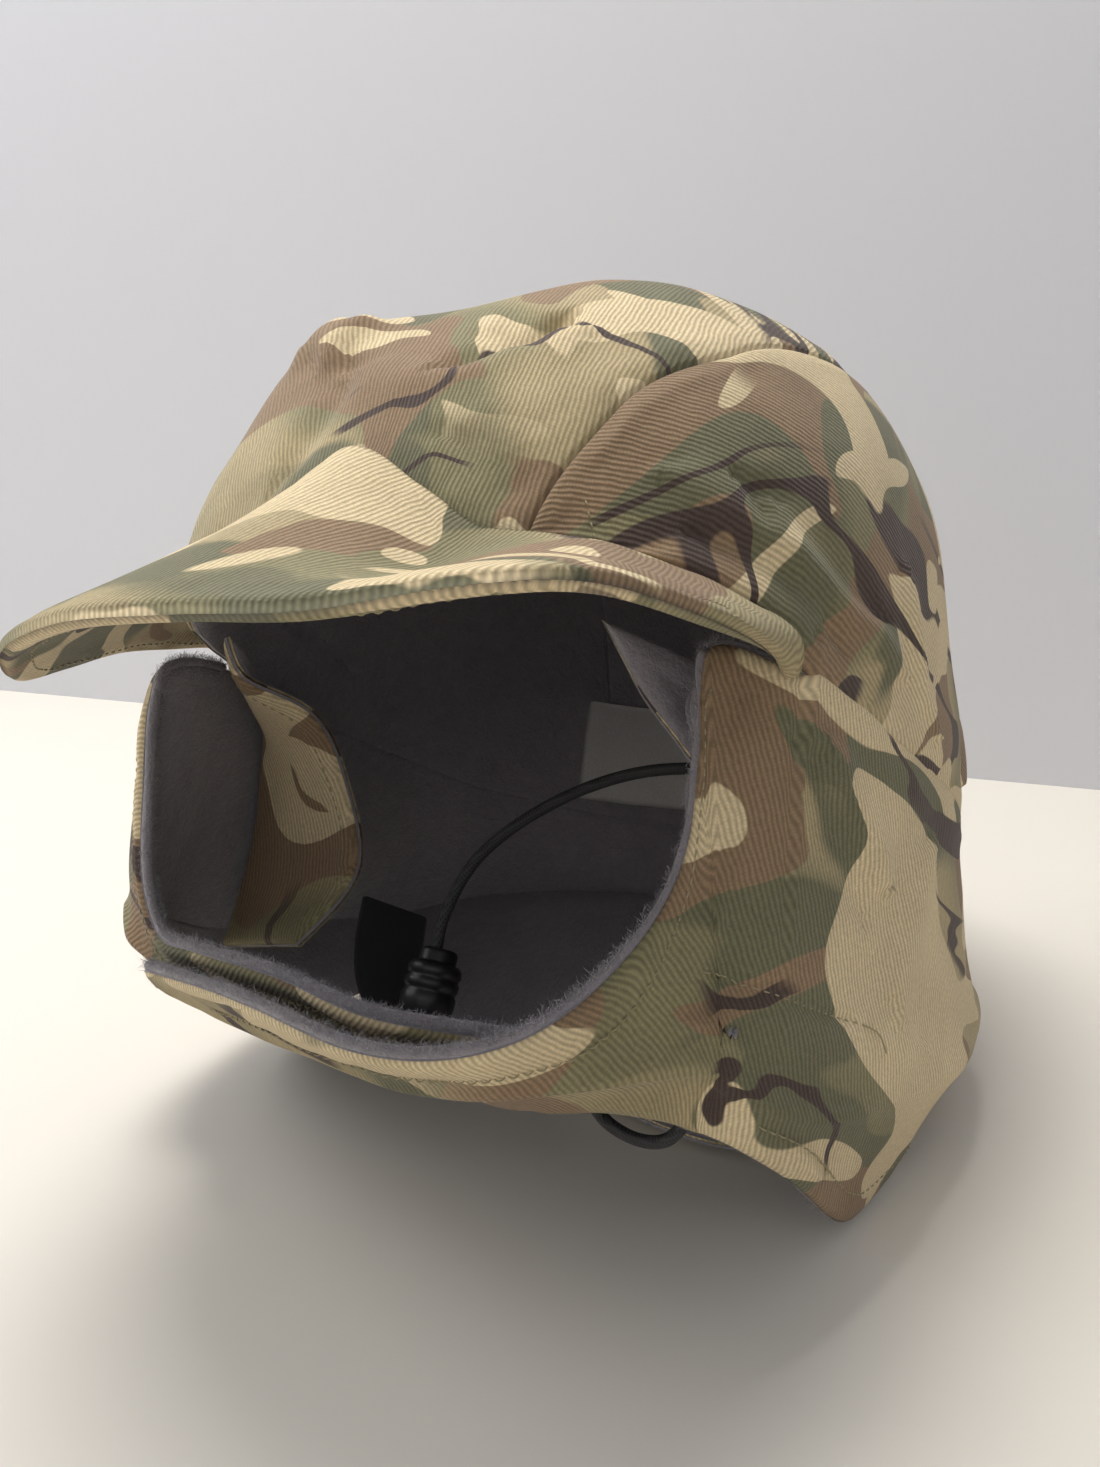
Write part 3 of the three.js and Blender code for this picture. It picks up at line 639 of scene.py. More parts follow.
def add_fuzz(points, normals, count, length, spread_out, width=0.07):
    """Short curled fleece fibres that stand off a line or patch of points."""
    pick = RNG.integers(0, len(points), count)
    p = points[pick] + RNG.normal(0, spread_out, (count, 3))
    n = normals[pick] + RNG.normal(0, 0.75, (count, 3))
    n /= np.linalg.norm(n, axis=1, keepdims=True)
    size = length * RNG.uniform(0.4, 1.2, count)[:, None]
    bend = RNG.normal(0, 0.5, (count, 3))
    side = np.cross(n, RNG.normal(0, 1, (count, 3)))
    side /= np.linalg.norm(side, axis=1, keepdims=True)
    p1 = p + n * size * 0.5 + bend * size * 0.15
    p2 = p + n * size * 0.8 + bend * size * 0.6
    side *= width
    v = np.stack([p - side, p + side, p1 + side * 0.8, p1 - side * 0.8, p2 + side * 0.3, p2 - side * 0.3], 1)
    base = FUZZ["n"] + np.arange(count)[:, None] * 6
    f1 = np.concatenate([base + 0, base + 1, base + 2, base + 3], 1)
    f2 = np.concatenate([base + 3, base + 2, base + 4, base + 5], 1)
    FUZZ["v"].append(v.reshape(-1, 3))
    FUZZ["f"].append(np.concatenate([f1, f2]))
    FUZZ["n"] += count * 6


# ------------------------------------------------------------------ materials
def new_material(name):
    mat = bpy.data.materials.new(name)
    mat.use_nodes = True
    nt = mat.node_tree
    nt.nodes.clear()
    out = nt.nodes.new("ShaderNodeOutputMaterial")
    shader = nt.nodes.new("ShaderNodeBsdfPrincipled")
    nt.links.new(shader.outputs[0], out.inputs[0])
    return mat, nt, shader


def node(nt, kind, **values):
    n = nt.nodes.new(kind)
    for key, value in values.items():
        if key.startswith("in_"):
            n.inputs[key[3:].replace("_", " ")].default_value = value
        else:
            setattr(n, key, value)
    return n


def math_node(nt, op, a, b=None, c=None, clamp=False):
    n = nt.nodes.new("ShaderNodeMath")
    n.operation = op
    n.use_clamp = clamp
    for k, value in enumerate((a, b, c)):
        if value is None:
            continue
        if isinstance(value, (int, float)):
            n.inputs[k].default_value = value
        else:
            nt.links.new(value, n.inputs[k])
    return n.outputs[0]


def ramp(nt, value, low, high):
    n = nt.nodes.new("ShaderNodeMapRange")
    n.interpolation_type = "SMOOTHSTEP"
    nt.links.new(value, n.inputs["Value"])
    n.inputs["From Min"].default_value = low
    n.inputs["From Max"].default_value = high
    return n.outputs["Result"]


def mix_colour(nt, factor, a, b, blend="MIX"):
    n = nt.nodes.new("ShaderNodeMix")
    n.data_type = "RGBA"
    n.blend_type = blend
    for socket, value in ((n.inputs[0], factor), (n.inputs[6], a), (n.inputs[7], b)):
        if isinstance(value, (int, float, tuple)):
            socket.default_value = value
        else:
            nt.links.new(value, socket)
    return n.outputs[2]


def srgb(code):
    c = [int(code[k:k + 2], 16) / 255 for k in (1, 3, 5)]
    return tuple(x / 12.92 if x <= 0.04045 else ((x + 0.055) / 1.055) ** 2.4 for x in c) + (1.0,)


SAND, TAN, OLIVE, MOSS, BROWN, DARK = (srgb(c) for c in (
    "#d8c49d", "#b3a27c", "#8b8463", "#747157", "#927a5f", "#554740"))


def noise_field(nt, coords, scale, detail, rough=0.5, **values):
    n = node(nt, "ShaderNodeTexNoise", in_Scale=scale, in_Detail=detail, in_Roughness=rough, **values)
    nt.links.new(coords, n.inputs["Vector"])
    return n.outputs["Fac"]


def tinted(nt, shader, colour, tone):
    """Base colour: a colour made lighter and darker by tone."""
    grey = node(nt, "ShaderNodeCombineColor")
    for k in range(3):
        nt.links.new(tone, grey.inputs[k])
    shade = grey.outputs[0] if colour is None else mix_colour(nt, 1.0, colour, grey.outputs[0], "MULTIPLY")
    nt.links.new(shade, shader.inputs["Base Color"])


def bumped(nt, shader, height, strength, distance, under=None):
    """Relief of a height on the shader, on top of the relief under it."""
    bump = node(nt, "ShaderNodeBump", in_Strength=strength, in_Distance=distance)
    nt.links.new(height, bump.inputs["Height"])
    if under is not None:
        nt.links.new(under, bump.inputs["Normal"])
    nt.links.new(bump.outputs[0], shader.inputs["Normal"])
    return bump.outputs[0]


RIB_PITCH, YARN_PITCH = 0.0013, 0.0008


def camouflage_material(name):
    """Printed cotton twill: soft ground, crisp patches, diagonal ribs."""
    mat, nt, shader = new_material(name)
    coords = node(nt, "ShaderNodeUVMap", uv_map="cloth").outputs[0]

    def do(op, *values):
        return math_node(nt, op, *values)

    def field(scale, offset, stretch=(1.0, 1.0), detail=1.5, warp=0.0):
        place = node(nt, "ShaderNodeMapping", in_Location=(offset[0], offset[1], 0),
                     in_Scale=(stretch[0], stretch[1], 1), in_Rotation=(0, 0, offset[2]))
        nt.links.new(coords, place.inputs["Vector"])
        return noise_field(nt, place.outputs[0], scale, detail, noise_dimensions="2D", in_Distortion=warp)

    ground = TAN
    for patch, low, high, colour in (
            (field(11, (0.3, 0.1, 0.3), (1, 1.6)), 0.43, 0.6, OLIVE),
            (field(9, (2.3, 4.1, -0.4), (1, 1.5), 2.0, 0.6), 0.5, 0.53, MOSS),
            (field(12, (5.3, 1.1, 0.2), (1, 1.7), 1.5, 0.8), 0.545, 0.556, BROWN),
            (field(13, (7.9, 3.3, 0.5), (1, 1.7), 1.2, 0.9), 0.555, 0.563, SAND)):
        ground = mix_colour(nt, ramp(nt, patch, low, high), ground, colour)
    branch = do("ABSOLUTE", do("SUBTRACT", field(8, (1.7, 8.2, 0.35), (1, 1.8), 1.8, 1.1), 0.5))
    gate = ramp(nt, field(10, (4.4, 6.6, 0.0), (1, 1.2), 1.0, 0.3), 0.53, 0.58)
    ground = mix_colour(nt, do("MULTIPLY", do("SUBTRACT", 1.0, ramp(nt, branch, 0.018, 0.024)), gate), ground, DARK)
    drops = do("MULTIPLY", ramp(nt, field(26, (9.1, 0.4, 0.3), (1, 1.9), 0.5, 0.4), 0.665, 0.675),
               ramp(nt, field(7, (3.4, 2.6, 0.0)), 0.46, 0.52))
    ground = mix_colour(nt, drops, ground, SAND)

    # Twill: diagonal ribs, yarns across them, and slight unevenness of the dye
    sep = node(nt, "ShaderNodeSeparateXYZ")
    nt.links.new(coords, sep.inputs[0])
    wobble = field(160, (0.2, 0.9, 0.0), detail=2.0)
    diag = do("MULTIPLY_ADD", sep.outputs[0], 0.82, do("MULTIPLY", sep.outputs[1], 0.57))
    phase = do("ADD", do("MULTIPLY", diag, 2 * math.pi / RIB_PITCH), do("MULTIPLY", wobble, 5.0))
    rib = do("MULTIPLY_ADD", do("SINE", phase), 0.5, 0.5)
    cross = do("MULTIPLY_ADD", sep.outputs[0], -0.57, do("MULTIPLY", sep.outputs[1], 0.82))
    yarn = do("MULTIPLY_ADD", do("SINE", do("MULTIPLY", cross, 2 * math.pi / YARN_PITCH)), 0.5, 0.5)
    weave = do("ADD", do("MULTIPLY", rib, 0.75), do("MULTIPLY", do("MULTIPLY", yarn, rib), 0.25))
    speck = field(900, (0.5, 0.5, 0.0), detail=2.0)
    tone = do("ADD", do("MULTIPLY_ADD", weave, 0.44, 0.68), do("MULTIPLY", do("SUBTRACT", speck, 0.5), 0.35))
    mottling = do("MULTIPLY_ADD", field(45, (6.0, 2.0, 0.0), detail=3.0), 0.3, 0.86)
    tinted(nt, shader, ground, do("MULTIPLY", tone, mottling))
    shader.inputs["Roughness"].default_value = 0.88
    shader.inputs["Specular IOR Level"].default_value = 0.22
    shader.inputs["Sheen Weight"].default_value = 0.12
    shader.inputs["Sheen Roughness"].default_value = 0.5
    ribs = bumped(nt, shader, weave, 0.75, 0.00022)
    bumped(nt, shader, field(120, (1.0, 3.0, 0.0), detail=3.0), 0.3, 0.0012, ribs)
    return mat


def fleece_material(name, code, rim=0.5):
    """Fleece: fine pile, small tufts and wide patches."""
    mat, nt, shader = new_material(name)
    coords = node(nt, "ShaderNodeTexCoord").outputs["Object"]
    pile, tufts, patch = (noise_field(nt, coords, *values) for values in ((900, 4, 0.7), (260, 3, 0.6), (30, 3, 0.6)))
    tone = math_node(nt, "ADD", math_node(nt, "MULTIPLY_ADD", pile, 0.5, 0.55),
                     math_node(nt, "MULTIPLY_ADD", tufts, 0.35, -0.02))
    tone = math_node(nt, "MULTIPLY", tone, math_node(nt, "MULTIPLY_ADD", patch, 0.3, 0.85))
    tinted(nt, shader, srgb(code), tone)
    shader.inputs["Roughness"].default_value = 1.0
    shader.inputs["Specular IOR Level"].default_value = 0.1
    shader.inputs["Sheen Weight"].default_value = rim
    shader.inputs["Sheen Roughness"].default_value = 0.6
    bumped(nt, shader, math_node(nt, "ADD", pile, math_node(nt, "MULTIPLY", tufts, 1.6)), 0.9, 0.0007)
    return mat


def plain_material(name, code, roughness, scale=800.0, depth=0.00008, sheen=0.0):
    """One colour with a fine grain."""
    mat, nt, shader = new_material(name)
    grain = noise_field(nt, node(nt, "ShaderNodeTexCoord").outputs["Object"], scale, 3.0)
    tinted(nt, shader, srgb(code), math_node(nt, "MULTIPLY_ADD", grain, 0.5, 0.75))
    shader.inputs["Roughness"].default_value = roughness
    shader.inputs["Sheen Weight"].default_value = sheen
    bumped(nt, shader, grain, 0.6, depth)
    return mat


def braid_material(name):
    """Black braided cord: fine crossed ribs."""
    mat, nt, shader = new_material(name)
    sep = node(nt, "ShaderNodeSeparateXYZ")
    nt.links.new(node(nt, "ShaderNodeTexCoord").outputs["Object"], sep.inputs[0])
    x, y, z = sep.outputs
    ribs = [math_node(nt, "SINE", math_node(nt, "MULTIPLY", math_node(nt, op, a, z), 6500))
            for op, a in (("ADD", x), ("SUBTRACT", y))]
    height = math_node(nt, "MAXIMUM", *ribs)
    tinted(nt, shader, None, math_node(nt, "MULTIPLY_ADD", height, 0.012, 0.022))
    shader.inputs["Roughness"].default_value = 0.6
    bumped(nt, shader, height, 0.6, 0.00015)
    return mat


CAMO = camouflage_material("camouflage_twill_print")
FLEECE_MAT = fleece_material("grey_fleece_pile", "#8d868b")
FUZZ_MAT = fleece_material("grey_fleece_fibres", "#9d979c", rim=0.6)
THREAD = plain_material("olive_thread", "#9a9070", 0.8)
CORD_MAT = braid_material("black_braid")
LOCK_MAT = plain_material("black_lock_plastic", "#17171a", 0.42, 1500.0, 0.00003)
LABEL_MAT = plain_material("label_weave", "#c9c6c1", 0.85, 1800.0, 0.0001)
# Near-black for the strip of painted shade over the unlit gap by the cord lock
SHADE_STRIP_MAT = plain_material("black_painted_shade_strip", "#1b1a1d", 0.9, 1400.0, 0.0002, 0.1)


def finish_piece(obj, material, slot, *nodes):
    obj.data.materials.append(material)
    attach(obj, "root")
    if nodes:
        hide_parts(*nodes)
    return obj


# ------------------------------------------------------------------ the cords
def cord_points(route, count):
    pts = np.array(route) * np.array([HALF_WIDTH, FRONT_REACH, CURTAIN_DROP])
    ends = np.concatenate([[2 * pts[0] - pts[1]], pts, [2 * pts[-1] - pts[-2]]])
    out = []
    for i in range(1, len(ends) - 2):
        p0, p1, p2, p3 = ends[i - 1:i + 3]
        d = [max(np.linalg.norm(q - p), 1e-6) ** 0.5 for p, q in ((p0, p1), (p1, p2), (p2, p3))]
        t0, t1, t2, t3 = 0, d[0], d[0] + d[1], d[0] + d[1] + d[2]
        for t in np.linspace(t1, t2, count, endpoint=i == len(ends) - 3):
            a1 = (t1 - t) / (t1 - t0) * p0 + (t - t0) / (t1 - t0) * p1
            a2 = (t2 - t) / (t2 - t1) * p1 + (t - t1) / (t2 - t1) * p2
            a3 = (t3 - t) / (t3 - t2) * p2 + (t - t2) / (t3 - t2) * p3
            b1 = (t2 - t) / (t2 - t0) * a1 + (t - t0) / (t2 - t0) * a2
            b2 = (t3 - t) / (t3 - t1) * a2 + (t - t1) / (t3 - t1) * a3
            out.append((t2 - t) / (t2 - t1) * b1 + (t - t1) / (t2 - t1) * b2)
    return np.array(out)


def cord_object(name, route):
    pts = on_table(cord_points(route, 8))
    curve = bpy.data.curves.new(name, "CURVE")
    curve.dimensions = "3D"
    spline = curve.splines.new("POLY")
    spline.points.add(len(pts) - 1)
    for p, q in zip(spline.points, pts):
        p.co = (*q, 1.0)
    curve.bevel_depth = CORD_DIAMETER / 2000
    curve.bevel_resolution = 4
    curve.use_fill_caps = True
    obj = bpy.data.objects.new(name, curve)
    bpy.context.scene.collection.objects.link(obj)
    length = float(np.linalg.norm(np.diff(pts, axis=0), axis=1).sum())
    return obj, pts, length


cord, cord_pts, cord_len = cord_object("drawcord_braid", CORD_ROUTE)
finish_piece(cord, CORD_MAT, "elastic_cord", "drawcord")
loop, loop_pts, loop_len = cord_object("drawcord_loop_braid", LOOP_ROUTE)
finish_piece(loop, CORD_MAT, "elastic_cord", "drawcord_loop")


def lock_object():
    """Barrel cord lock: a grooved body and a sprung button."""
    profile = [
        (0.0, -0.5), (0.55, -0.5), (0.85, -0.46), (0.97, -0.36), (1, -0.22), (1, -0.12), (0.94, -0.09), (0.94, -0.05),
        (1, -0.02), (1, 0.06), (0.94, 0.09), (0.94, 0.13), (1, 0.16), (0.98, 0.24), (0.86, 0.3), (0.72, 0.31),
        (0.7, 0.33), (0.7, 0.44), (0.64, 0.485), (0.5, 0.5), (0.0, 0.5),
    ]
    sides, verts = 40, []
    for r, z in profile:
        for k in range(sides):
            a = 2 * math.pi * k / sides
            flute = 1 - 0.02 * (0.5 + 0.5 * math.cos(10 * a)) * (1 if -0.3 < z < 0.2 else 0)
            wide = max(r, 0.004) * LOCK_RADIUS * flute
            verts.append((wide * math.sin(a), z * LOCK_LENGTH, wide * math.cos(a)))
    v = np.array(verts)
    c, s = math.cos(math.radians(80)), math.sin(math.radians(80))
    turned = np.stack([v[:, 0], v[:, 1] * c - v[:, 2] * s, v[:, 1] * s + v[:, 2] * c], 1)
    turned += np.array([-0.05 * HALF_WIDTH, -0.352 * FRONT_REACH, -0.935 * CURTAIN_DROP])
    return add_object("cord_lock_barrel", on_table(turned), ring_faces(len(profile), sides))


lock = finish_piece(lock_object(), LOCK_MAT, "lock_plastic", "cord_lock")
tuple(cord_pts[0])
tuple(loop_pts[0])

# ------------------------------------------------------------- the cap itself
N = 1.0


def count(n):
    return int(n * N)


def lining_folds(points):
    """Soft waves of the loose fleece, in mm towards the hollow."""
    return 1.1 * np.abs(noise(points + 20, 24.0)) + 0.5 * np.abs(noise(points + 70, 11.0))


def crown_piece(name, surface, nu, nv, outward, origin, turn, lining_name):
    g = Grid(surface, spread(count(nu)), spread(count(nv)), outward, crumple=0.55)
    seam = g.edge(["u0", "u1", "v1"] if "side" in name else ["u0", "u1"])
    low = g.edge(["v0"] if "side" in name else ["v0", "v1"])
    far = np.minimum(seam, low)
    puff = 0.35 * np.exp(-((far - 5.0) / 3.0) ** 2)
    offset = -SEAM_DIP * (1 - round_off(far, SEAM_ROUND)) + puff - 0.1
    g.face = g.base + g.normal * offset[..., None]
    uv = cloth_uv(g, origin, turn)
    outer = sheet_object(name + "_twill", g, offset, 0.9, uv)
    finish_piece(outer, CAMO, "camouflage_twill", name)
    inner_off = -WALL + (WALL - LINING_AT_SEAM) * (1 - round_off(far, 5.0)) - lining_folds(g.base) * smoothstep(2, 12, far)
    inner = sheet_object(lining_name + "_pile", g, inner_off, 1.4, uv, inner=True)
    finish_piece(inner, FLEECE_MAT, "grey_fleece", lining_name)
    return g


def curtain_piece(word, rows, side, origin, turn, nu, nv):
    us = spread(count(nu), (0.0, 0.0012, 0.003, 0.0055, 0.009, 0.014))
    g = Grid(curtain(rows), us, spread(count(nv)), side, crumple=0.6)
    joined = RING_ROWS / (len(rows) - 1)
    on_ring = (g.us <= joined)[:, None]
    free_top = np.where(on_ring, 1e9, g.from_v0)
    rim = np.minimum(np.minimum(free_top, g.from_v1), g.from_u1)
    seam = np.minimum(np.where(on_ring, g.from_v0, 1e9), g.from_u0)
    half = WALL / 2
    off = -half + half * round_off(rim, RIM_ROUND)
    off = off - SEAM_DIP * (1 - round_off(seam, SEAM_ROUND)) + 0.35 * np.exp(-((np.minimum(seam, rim) - 6) / 3.5) ** 2)
    g.face = g.base + g.normal * off[..., None]
    g.rim = rim
    fold_at = int(np.searchsorted(g.vs, FOLD_SHARE))
    below = g.from_v0 - g.from_v0[:, fold_at:fold_at + 1]
    crease = (1.3 * np.exp(-(below / 2.6) ** 2) - 0.9 * np.exp(-((below - 10) / 6.0) ** 2)
              - 0.5 * np.exp(-((below + 8) / 5.0) ** 2))
    off = off + crease * smoothstep(0.24, 0.36, g.us)[:, None] * smoothstep(2, 9, rim)
    uv = cloth_uv(g, origin, turn)
    outer = sheet_object(f"curtain_{word}_twill", g, off, 0.9, uv)
    finish_piece(outer, CAMO, "camouflage_twill", f"curtain_{word}")
    ioff = -half - 0.2 - (half + 0.1) * round_off(rim, 3.2) + (WALL - LINING_AT_SEAM) * (1 - round_off(seam, 5.0))
    ioff = ioff - lining_folds(g.base) * smoothstep(4, 14, np.minimum(rim, seam)) * smoothstep(8, 20, np.abs(below))
    bend = np.maximum(np.exp(-(below / 9) ** 2), 0.8 * (1 - smoothstep(0, 14, g.from_u1)))
    ioff = ioff * (1 - bend) - 3.0 * bend * round_off(rim, 3.2) - half * bend * (1 - round_off(rim, 3.2))
    g.lining = g.base + g.normal * ioff[..., None]
    inner = sheet_object(f"curtain_lining_{word}_pile", g, ioff, 1.2, uv, inner=True)
    finish_piece(inner, FLEECE_MAT, "grey_fleece", f"curtain_lining_{word}")
    return g


def ear_piece(word, rows, side, origin):
    g = Grid(ear_flap(rows), spread(count(30)), spread(count(38)), -side, crumple=0.7, folds=False)
    rim = g.edge(["u0", "v0", "v1", "u1"])
    half = WALL / 2
    front = -half + half * round_off(rim, RIM_ROUND) + 0.4 * np.exp(-((rim - 6) / 3) ** 2)
    rear = -half - half * round_off(rim, 2.8)
    g.face = g.base + g.normal * front[..., None]
    g.lining = g.base + g.normal * rear[..., None]
    uv = cloth_uv(g, origin, 0.4)
    twill_first = word == "right"
    twill = sheet_object(f"ear_flap_{word}_twill", g, front if twill_first else rear, 0.8, uv, inner=not twill_first)
    finish_piece(twill, CAMO, "camouflage_twill", f"ear_flap_{word}")
    pile = sheet_object(f"ear_flap_lining_{word}_pile", g, rear if twill_first else front, 1.0, uv, inner=twill_first)
    finish_piece(pile, FLEECE_MAT, "grey_fleece", f"ear_flap_lining_{word}")
    return g


crown_c = crown_piece("crown_centre_panel", centre_panel, 72, 150, 1, (0.35, 0.2), 0.2, "crown_centre_lining")
crown_l = crown_piece("crown_side_panel_left", side_panel(1), 104, 62, 1, (1.2, 0.75), -0.5, "crown_side_lining_left")
crown_piece("crown_side_panel_right", side_panel(-1), 104, 62, -1, (2.4, 0.3), 0.5, "crown_side_lining_right")
curt_l = curtain_piece("left", LEFT_CURTAIN, 1, (3.1, 0.4), 0.25, 210, 64)
curt_r = curtain_piece("right", RIGHT_CURTAIN, -1, (4.6, 1.3), -0.2, 210, 64)
ear_piece("left", LEFT_EAR_FLAP, 1, (5.5, 0.6))
ear_r = ear_piece("right", RIGHT_EAR_FLAP, -1, (6.1, 1.6))


def peak_piece():
    us = spread(count(170), (0.0, 0.0015, 0.004, 0.007, 0.011, 0.016))
    vs = spread(count(48), (0.0, 0.012, 0.025, 0.04, 0.06, 0.08))
    g = Grid(peak_surface, us, vs, 1, crumple=0.25, folds=False)
    far = g.edge(["u0", "u1", "v1"])
    half = PEAK_THICK / 2
    edge = round_off(far, 2.5)
    top = -half + half * edge + 0.35 * np.exp(-((far - 9) / 5) ** 2)
    low = -half - half * edge - 0.2 * np.exp(-((far - 9) / 5) ** 2)
    g.face = g.base + g.normal * top[..., None]
    under = g.base + g.normal * low[..., None]
    verts = np.concatenate([g.face.reshape(-1, 3), under.reshape(-1, 3)])
    faces = shell_faces(*under.shape[:2], False)
    uv = cloth_uv(g, (7.3, 0.5), 0.3)
    obj = add_object("peak_twill", on_table(verts), faces, np.concatenate([uv, uv + np.array([1.1, 0.35])]))
    finish_piece(obj, CAMO, "camouflage_twill", "peak")
    return g


peak = peak_piece()

# The label on the lining behind the head
lab = Grid(label_surface, np.linspace(0, 1, 24), np.linspace(0, 1, 20), -1, crumple=0.3, folds=False)
lab_off = np.full(lab.base.shape[:2], -(WALL + 1.6))
label = sheet_object("label_weave", lab, lab_off, 0.5, cloth_uv(lab, (0, 0), 0), inner=True)
finish_piece(label, LABEL_MAT, "label_cloth", "label")


def shade_strip(name, points, sides, width, thick=1.0):
    """Dark strip along points, its width along the given directions: painted shade, a sheet standing for an unlit gap,
    not a real tape.
    """
    points, sides = np.asarray(points, float), np.asarray(sides, float)
    place = np.linspace(0, len(points) - 1, 60)
    run = along_rows(points, place / (len(points) - 1))
    across = along_rows(sides, place / (len(points) - 1))
    across /= np.linalg.norm(across, axis=1, keepdims=True)
    off = np.cross(np.gradient(run, axis=0), across)
    off *= thick / 2 / np.linalg.norm(off, axis=1, keepdims=True)
    half = across * width / 2
    rows = [run - half - off * 0.4, run - half * 0.9 + off, run + half * 0.9 + off,
            run + half - off * 0.4, run + half * 0.9 - off, run - half * 0.9 - off]
    ring = np.stack(rows, 1)
    n, k = ring.shape[:2]
    obj = add_object(name, on_table(ring.reshape(-1, 3)), ring_faces(n, k)[:, ::-1])
    return finish_piece(obj, SHADE_STRIP_MAT, "elastic_cord")


# Painted shade: a black strip over the dark, unlit gap of the neck opening by the cord lock; the cap has no such tape
shade_strip("painted_shade_strip", [[-38, -20, -76], [-31, -28, -87], [-23, -34, -97], [-13, -37, -105], [-2, -37, -110]],
     [[0.5, 0.8, -0.2]] * 5, 20)

# ------------------------------------------------------------------- stitches
def line_at_distance(grid, which, distance, a, b, n=300):
    """Line on the face that keeps its distance from one edge."""
    if which in ("v0", "v1"):
        u = np.linspace(a, b, n)
        iu = np.interp(u, grid.us, np.arange(len(grid.us))).round().astype(int)
        table = grid.from_v0 if which == "v0" else grid.from_v1
        v = np.array([np.interp(distance, table[i] if which == "v0" else table[i][::-1],
                                grid.vs if which == "v0" else grid.vs[::-1]) for i in iu])
        return grid.at(u, v)
    v = np.linspace(a, b, n)
    iv = np.interp(v, grid.vs, np.arange(len(grid.vs))).round().astype(int)
    table = grid.from_u0 if which == "u0" else grid.from_u1
    u = np.array([np.interp(distance, table[:, j] if which == "u0" else table[::-1, j],
                            grid.us if which == "u0" else grid.us[::-1]) for j in iv])
    return grid.at(u, v)


left_open = RING_ROWS / (len(LEFT_CURTAIN) - 1)
right_open = RING_ROWS / (len(RIGHT_CURTAIN) - 1)
for sewn in (
        (curt_l, "v0", 9.0, left_open + 0.06, 0.985), (curt_r, "v0", 9.0, right_open + 0.06, 0.985),
        (curt_l, "v1", 8.0, 0.01, 0.42), (curt_r, "v1", 8.0, 0.01, 0.42),
        (crown_c, "v1", 3.5, 0.02, 0.98), (peak, "v1", 6.0, 0.01, 0.99), (ear_r, "u0", 5.0, 0.03, 0.97)):
    stitch_line(*line_at_distance(*sewn))
dart = np.array([[80, -55.5, -78.6], [85.9, -49.2, -80], [93.5, -36.8, -82.8], [98.8, -14.3, -86.8]])


def lay_on(grid, points, n=60):
    """Points of a line moved onto a grid's face, with its normals."""
    run = along_rows(points, np.linspace(0, 1, n))
    flat = grid.face.reshape(-1, 3)
    near = np.array([((flat - q) ** 2).sum(1).argmin() for q in run])
    found, normal = flat[near], grid.normal.reshape(-1, 3)[near]
    return run + normal * ((found - run) * normal).sum(1, keepdims=True), normal


stitch_line(*lay_on(curt_l, dart), pitch=2.6, length=2.1)
tail, tail_n = lay_on(curt_l, np.array([[98.6, -15, -86.6], [98.8, -10, -88.5], [98.4, -8, -92.5]]), 14)
add_tube(STITCHES, tail + tail_n * np.linspace(0.1, 1.6, 14)[:, None], 0.2)
short = np.array([[60.0, -89.8, 12.0], [62.5, -88.5, 4.0], [64.0, -87.5, -3.0]])
stitch_line(*lay_on(crown_l, short), pitch=2.4, length=2.0)
thread = add_object("stitching", on_table(np.concatenate(STITCHES["v"])), np.concatenate(STITCHES["f"]))
finish_piece(thread, THREAD, "camouflage_twill")

# ----------------------------------------------------------------------- fuzz
def rim_fuzz(grid, mask, amount, length):
    add_fuzz(grid.lining[mask], -grid.normal[mask], amount, length, 0.35)


RIM = {"v": [], "f": [], "n": 0}


def rim_roll(grid, start):
    """The fleece's own rolled edge, just proud of the twill along the opening."""
    i0 = int(np.searchsorted(grid.us, start + 0.012))
    along = np.concatenate([grid.base[i0:, 0], grid.base[-1, 1:60]])
    normal = np.concatenate([grid.normal[i0:, 0], grid.normal[-1, 1:60]])
    away = np.concatenate([grid.base[i0:, 0] - grid.base[i0:, 6], grid.base[-1, 1:60] - grid.base[-6, 1:60]])
    away /= np.linalg.norm(away, axis=1, keepdims=True)
    path = along - normal * WALL * 0.66 + away * 0.1
    step = np.concatenate([[0], np.cumsum(np.linalg.norm(np.diff(path, axis=0), axis=1))])
    even = np.linspace(0, step[-1], int(step[-1] / 1.2))
    path = np.stack([np.interp(even, step, path[:, k]) for k in range(3)], 1)
    away = np.stack([np.interp(even, step, away[:, k]) for k in range(3)], 1)
    size = 1.35 + 0.2 * noise(path, 7.0)
    add_tube(RIM, path, size, sides=10)
    points = np.repeat(path, 3, 0) + np.repeat(away, 3, 0) * 0.9
    add_fuzz(points, np.repeat(away, 3, 0), int(9500 * fz), 1.5, 0.7, 0.06)


fz = 1.0
rim_roll(curt_l, left_open)
rim_roll(curt_r, right_open)
rolled = add_object("fleece_edge_roll", on_table(np.concatenate(RIM["v"])), np.concatenate(RIM["f"]))
finish_piece(rolled, FLEECE_MAT, "grey_fleece")
for g in (curt_l, curt_r):
    near = (g.rim > 0.3) & (g.rim < 3.4)
    rim_fuzz(g, near, int(9000 * fz), 1.5)
    rim_fuzz(g, g.rim > 3.4, int(4000 * fz), 1.3)
fuzz = add_object("fleece_fibres", on_table(np.concatenate(FUZZ["v"])), np.concatenate(FUZZ["f"]))
finish_piece(fuzz, FUZZ_MAT, "grey_fleece")


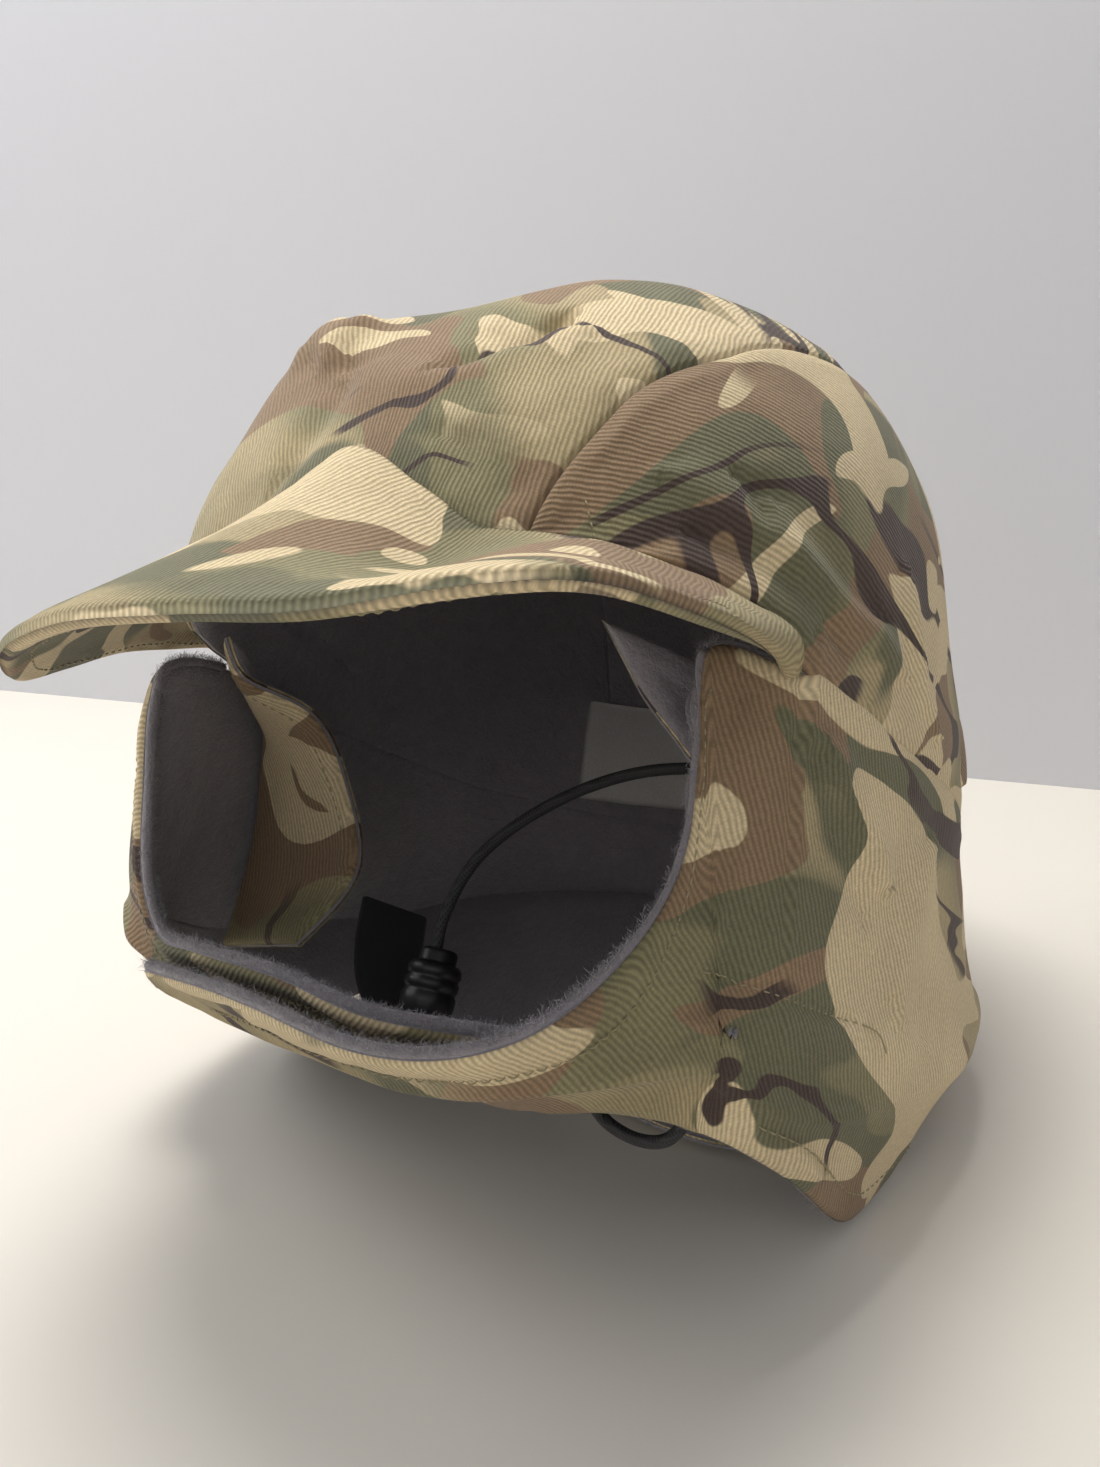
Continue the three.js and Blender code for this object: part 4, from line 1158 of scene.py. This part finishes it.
# -------------------------------------------------------------- floor, lights
def stage_plane(name, corners, code, roughness=0.7):
    obj = add_object(name, corners, [(0, 1, 2, 3)], smooth=False)
    mat, nt, shader = new_material(name + "_paint")
    shader.inputs["Base Color"].default_value = srgb(code)
    shader.inputs["Roughness"].default_value = roughness
    if name == "backdrop":
        # Seen from its front only, so that the cap can be looked at from behind
        clear = nt.nodes.new("ShaderNodeBsdfTransparent")
        mix = nt.nodes.new("ShaderNodeMixShader")
        side = nt.nodes.new("ShaderNodeNewGeometry")
        nt.links.new(side.outputs["Backfacing"], mix.inputs[0])
        nt.links.new(shader.outputs[0], mix.inputs[1])
        nt.links.new(clear.outputs[0], mix.inputs[2])
        nt.links.new(mix.outputs[0], nt.nodes["Material Output"].inputs[0])
    obj.data.materials.append(mat)
    return obj


WALL_A, WALL_B = np.array([-0.652, 0.184, 0.0]), np.array([0.05, 0.353, 0.0])
WALL_END = (WALL_B - WALL_A) * 4
UPWARD = np.array([0, 0, 3.0])
stage_plane("floor", [(-3, -3, 0), (3, -3, 0), (3, 3, 0), (-3, 3, 0)], "#dcd6cc")
LOW_A, LOW_B = WALL_A - WALL_END, WALL_B + WALL_END
stage_plane("backdrop", [LOW_A, LOW_B, LOW_B + UPWARD, LOW_A + UPWARD], "#d2d2d6", 0.9)


def area_light(name, place, target, size, power, colour=(1, 1, 1)):
    data = bpy.data.lights.new(name, "AREA")
    data.shape = "RECTANGLE"
    data.size, data.size_y = size
    data.energy = power
    data.color = colour
    obj = bpy.data.objects.new(name, data)
    obj.location = place
    d = Vector(target) - Vector(place)
    obj.rotation_euler = d.to_track_quat("-Z", "Y").to_euler()
    bpy.context.scene.collection.objects.link(obj)
    return obj


area_light("key", (-0.25, 0.12, 1.25), (0, 0, 0.05), (0.6, 0.35), 14, (1, 0.985, 0.96))
area_light("left", (-1.2, -0.3, 0.9), (0, 0, 0.1), (0.8, 0.8), 8, (0.97, 0.98, 1))
area_light("front", (0.5, -1.2, 0.9), (0, 0, 0.08), (1.2, 1.0), 2.2, (0.97, 0.98, 1))
world = bpy.data.worlds.new("world")
world.use_nodes = True
world.node_tree.nodes["Background"].inputs[0].default_value = (0.9, 0.92, 0.95, 1)
world.node_tree.nodes["Background"].inputs[1].default_value = 0.46
bpy.context.scene.world = world
bpy.context.scene.view_settings.view_transform = "Standard"
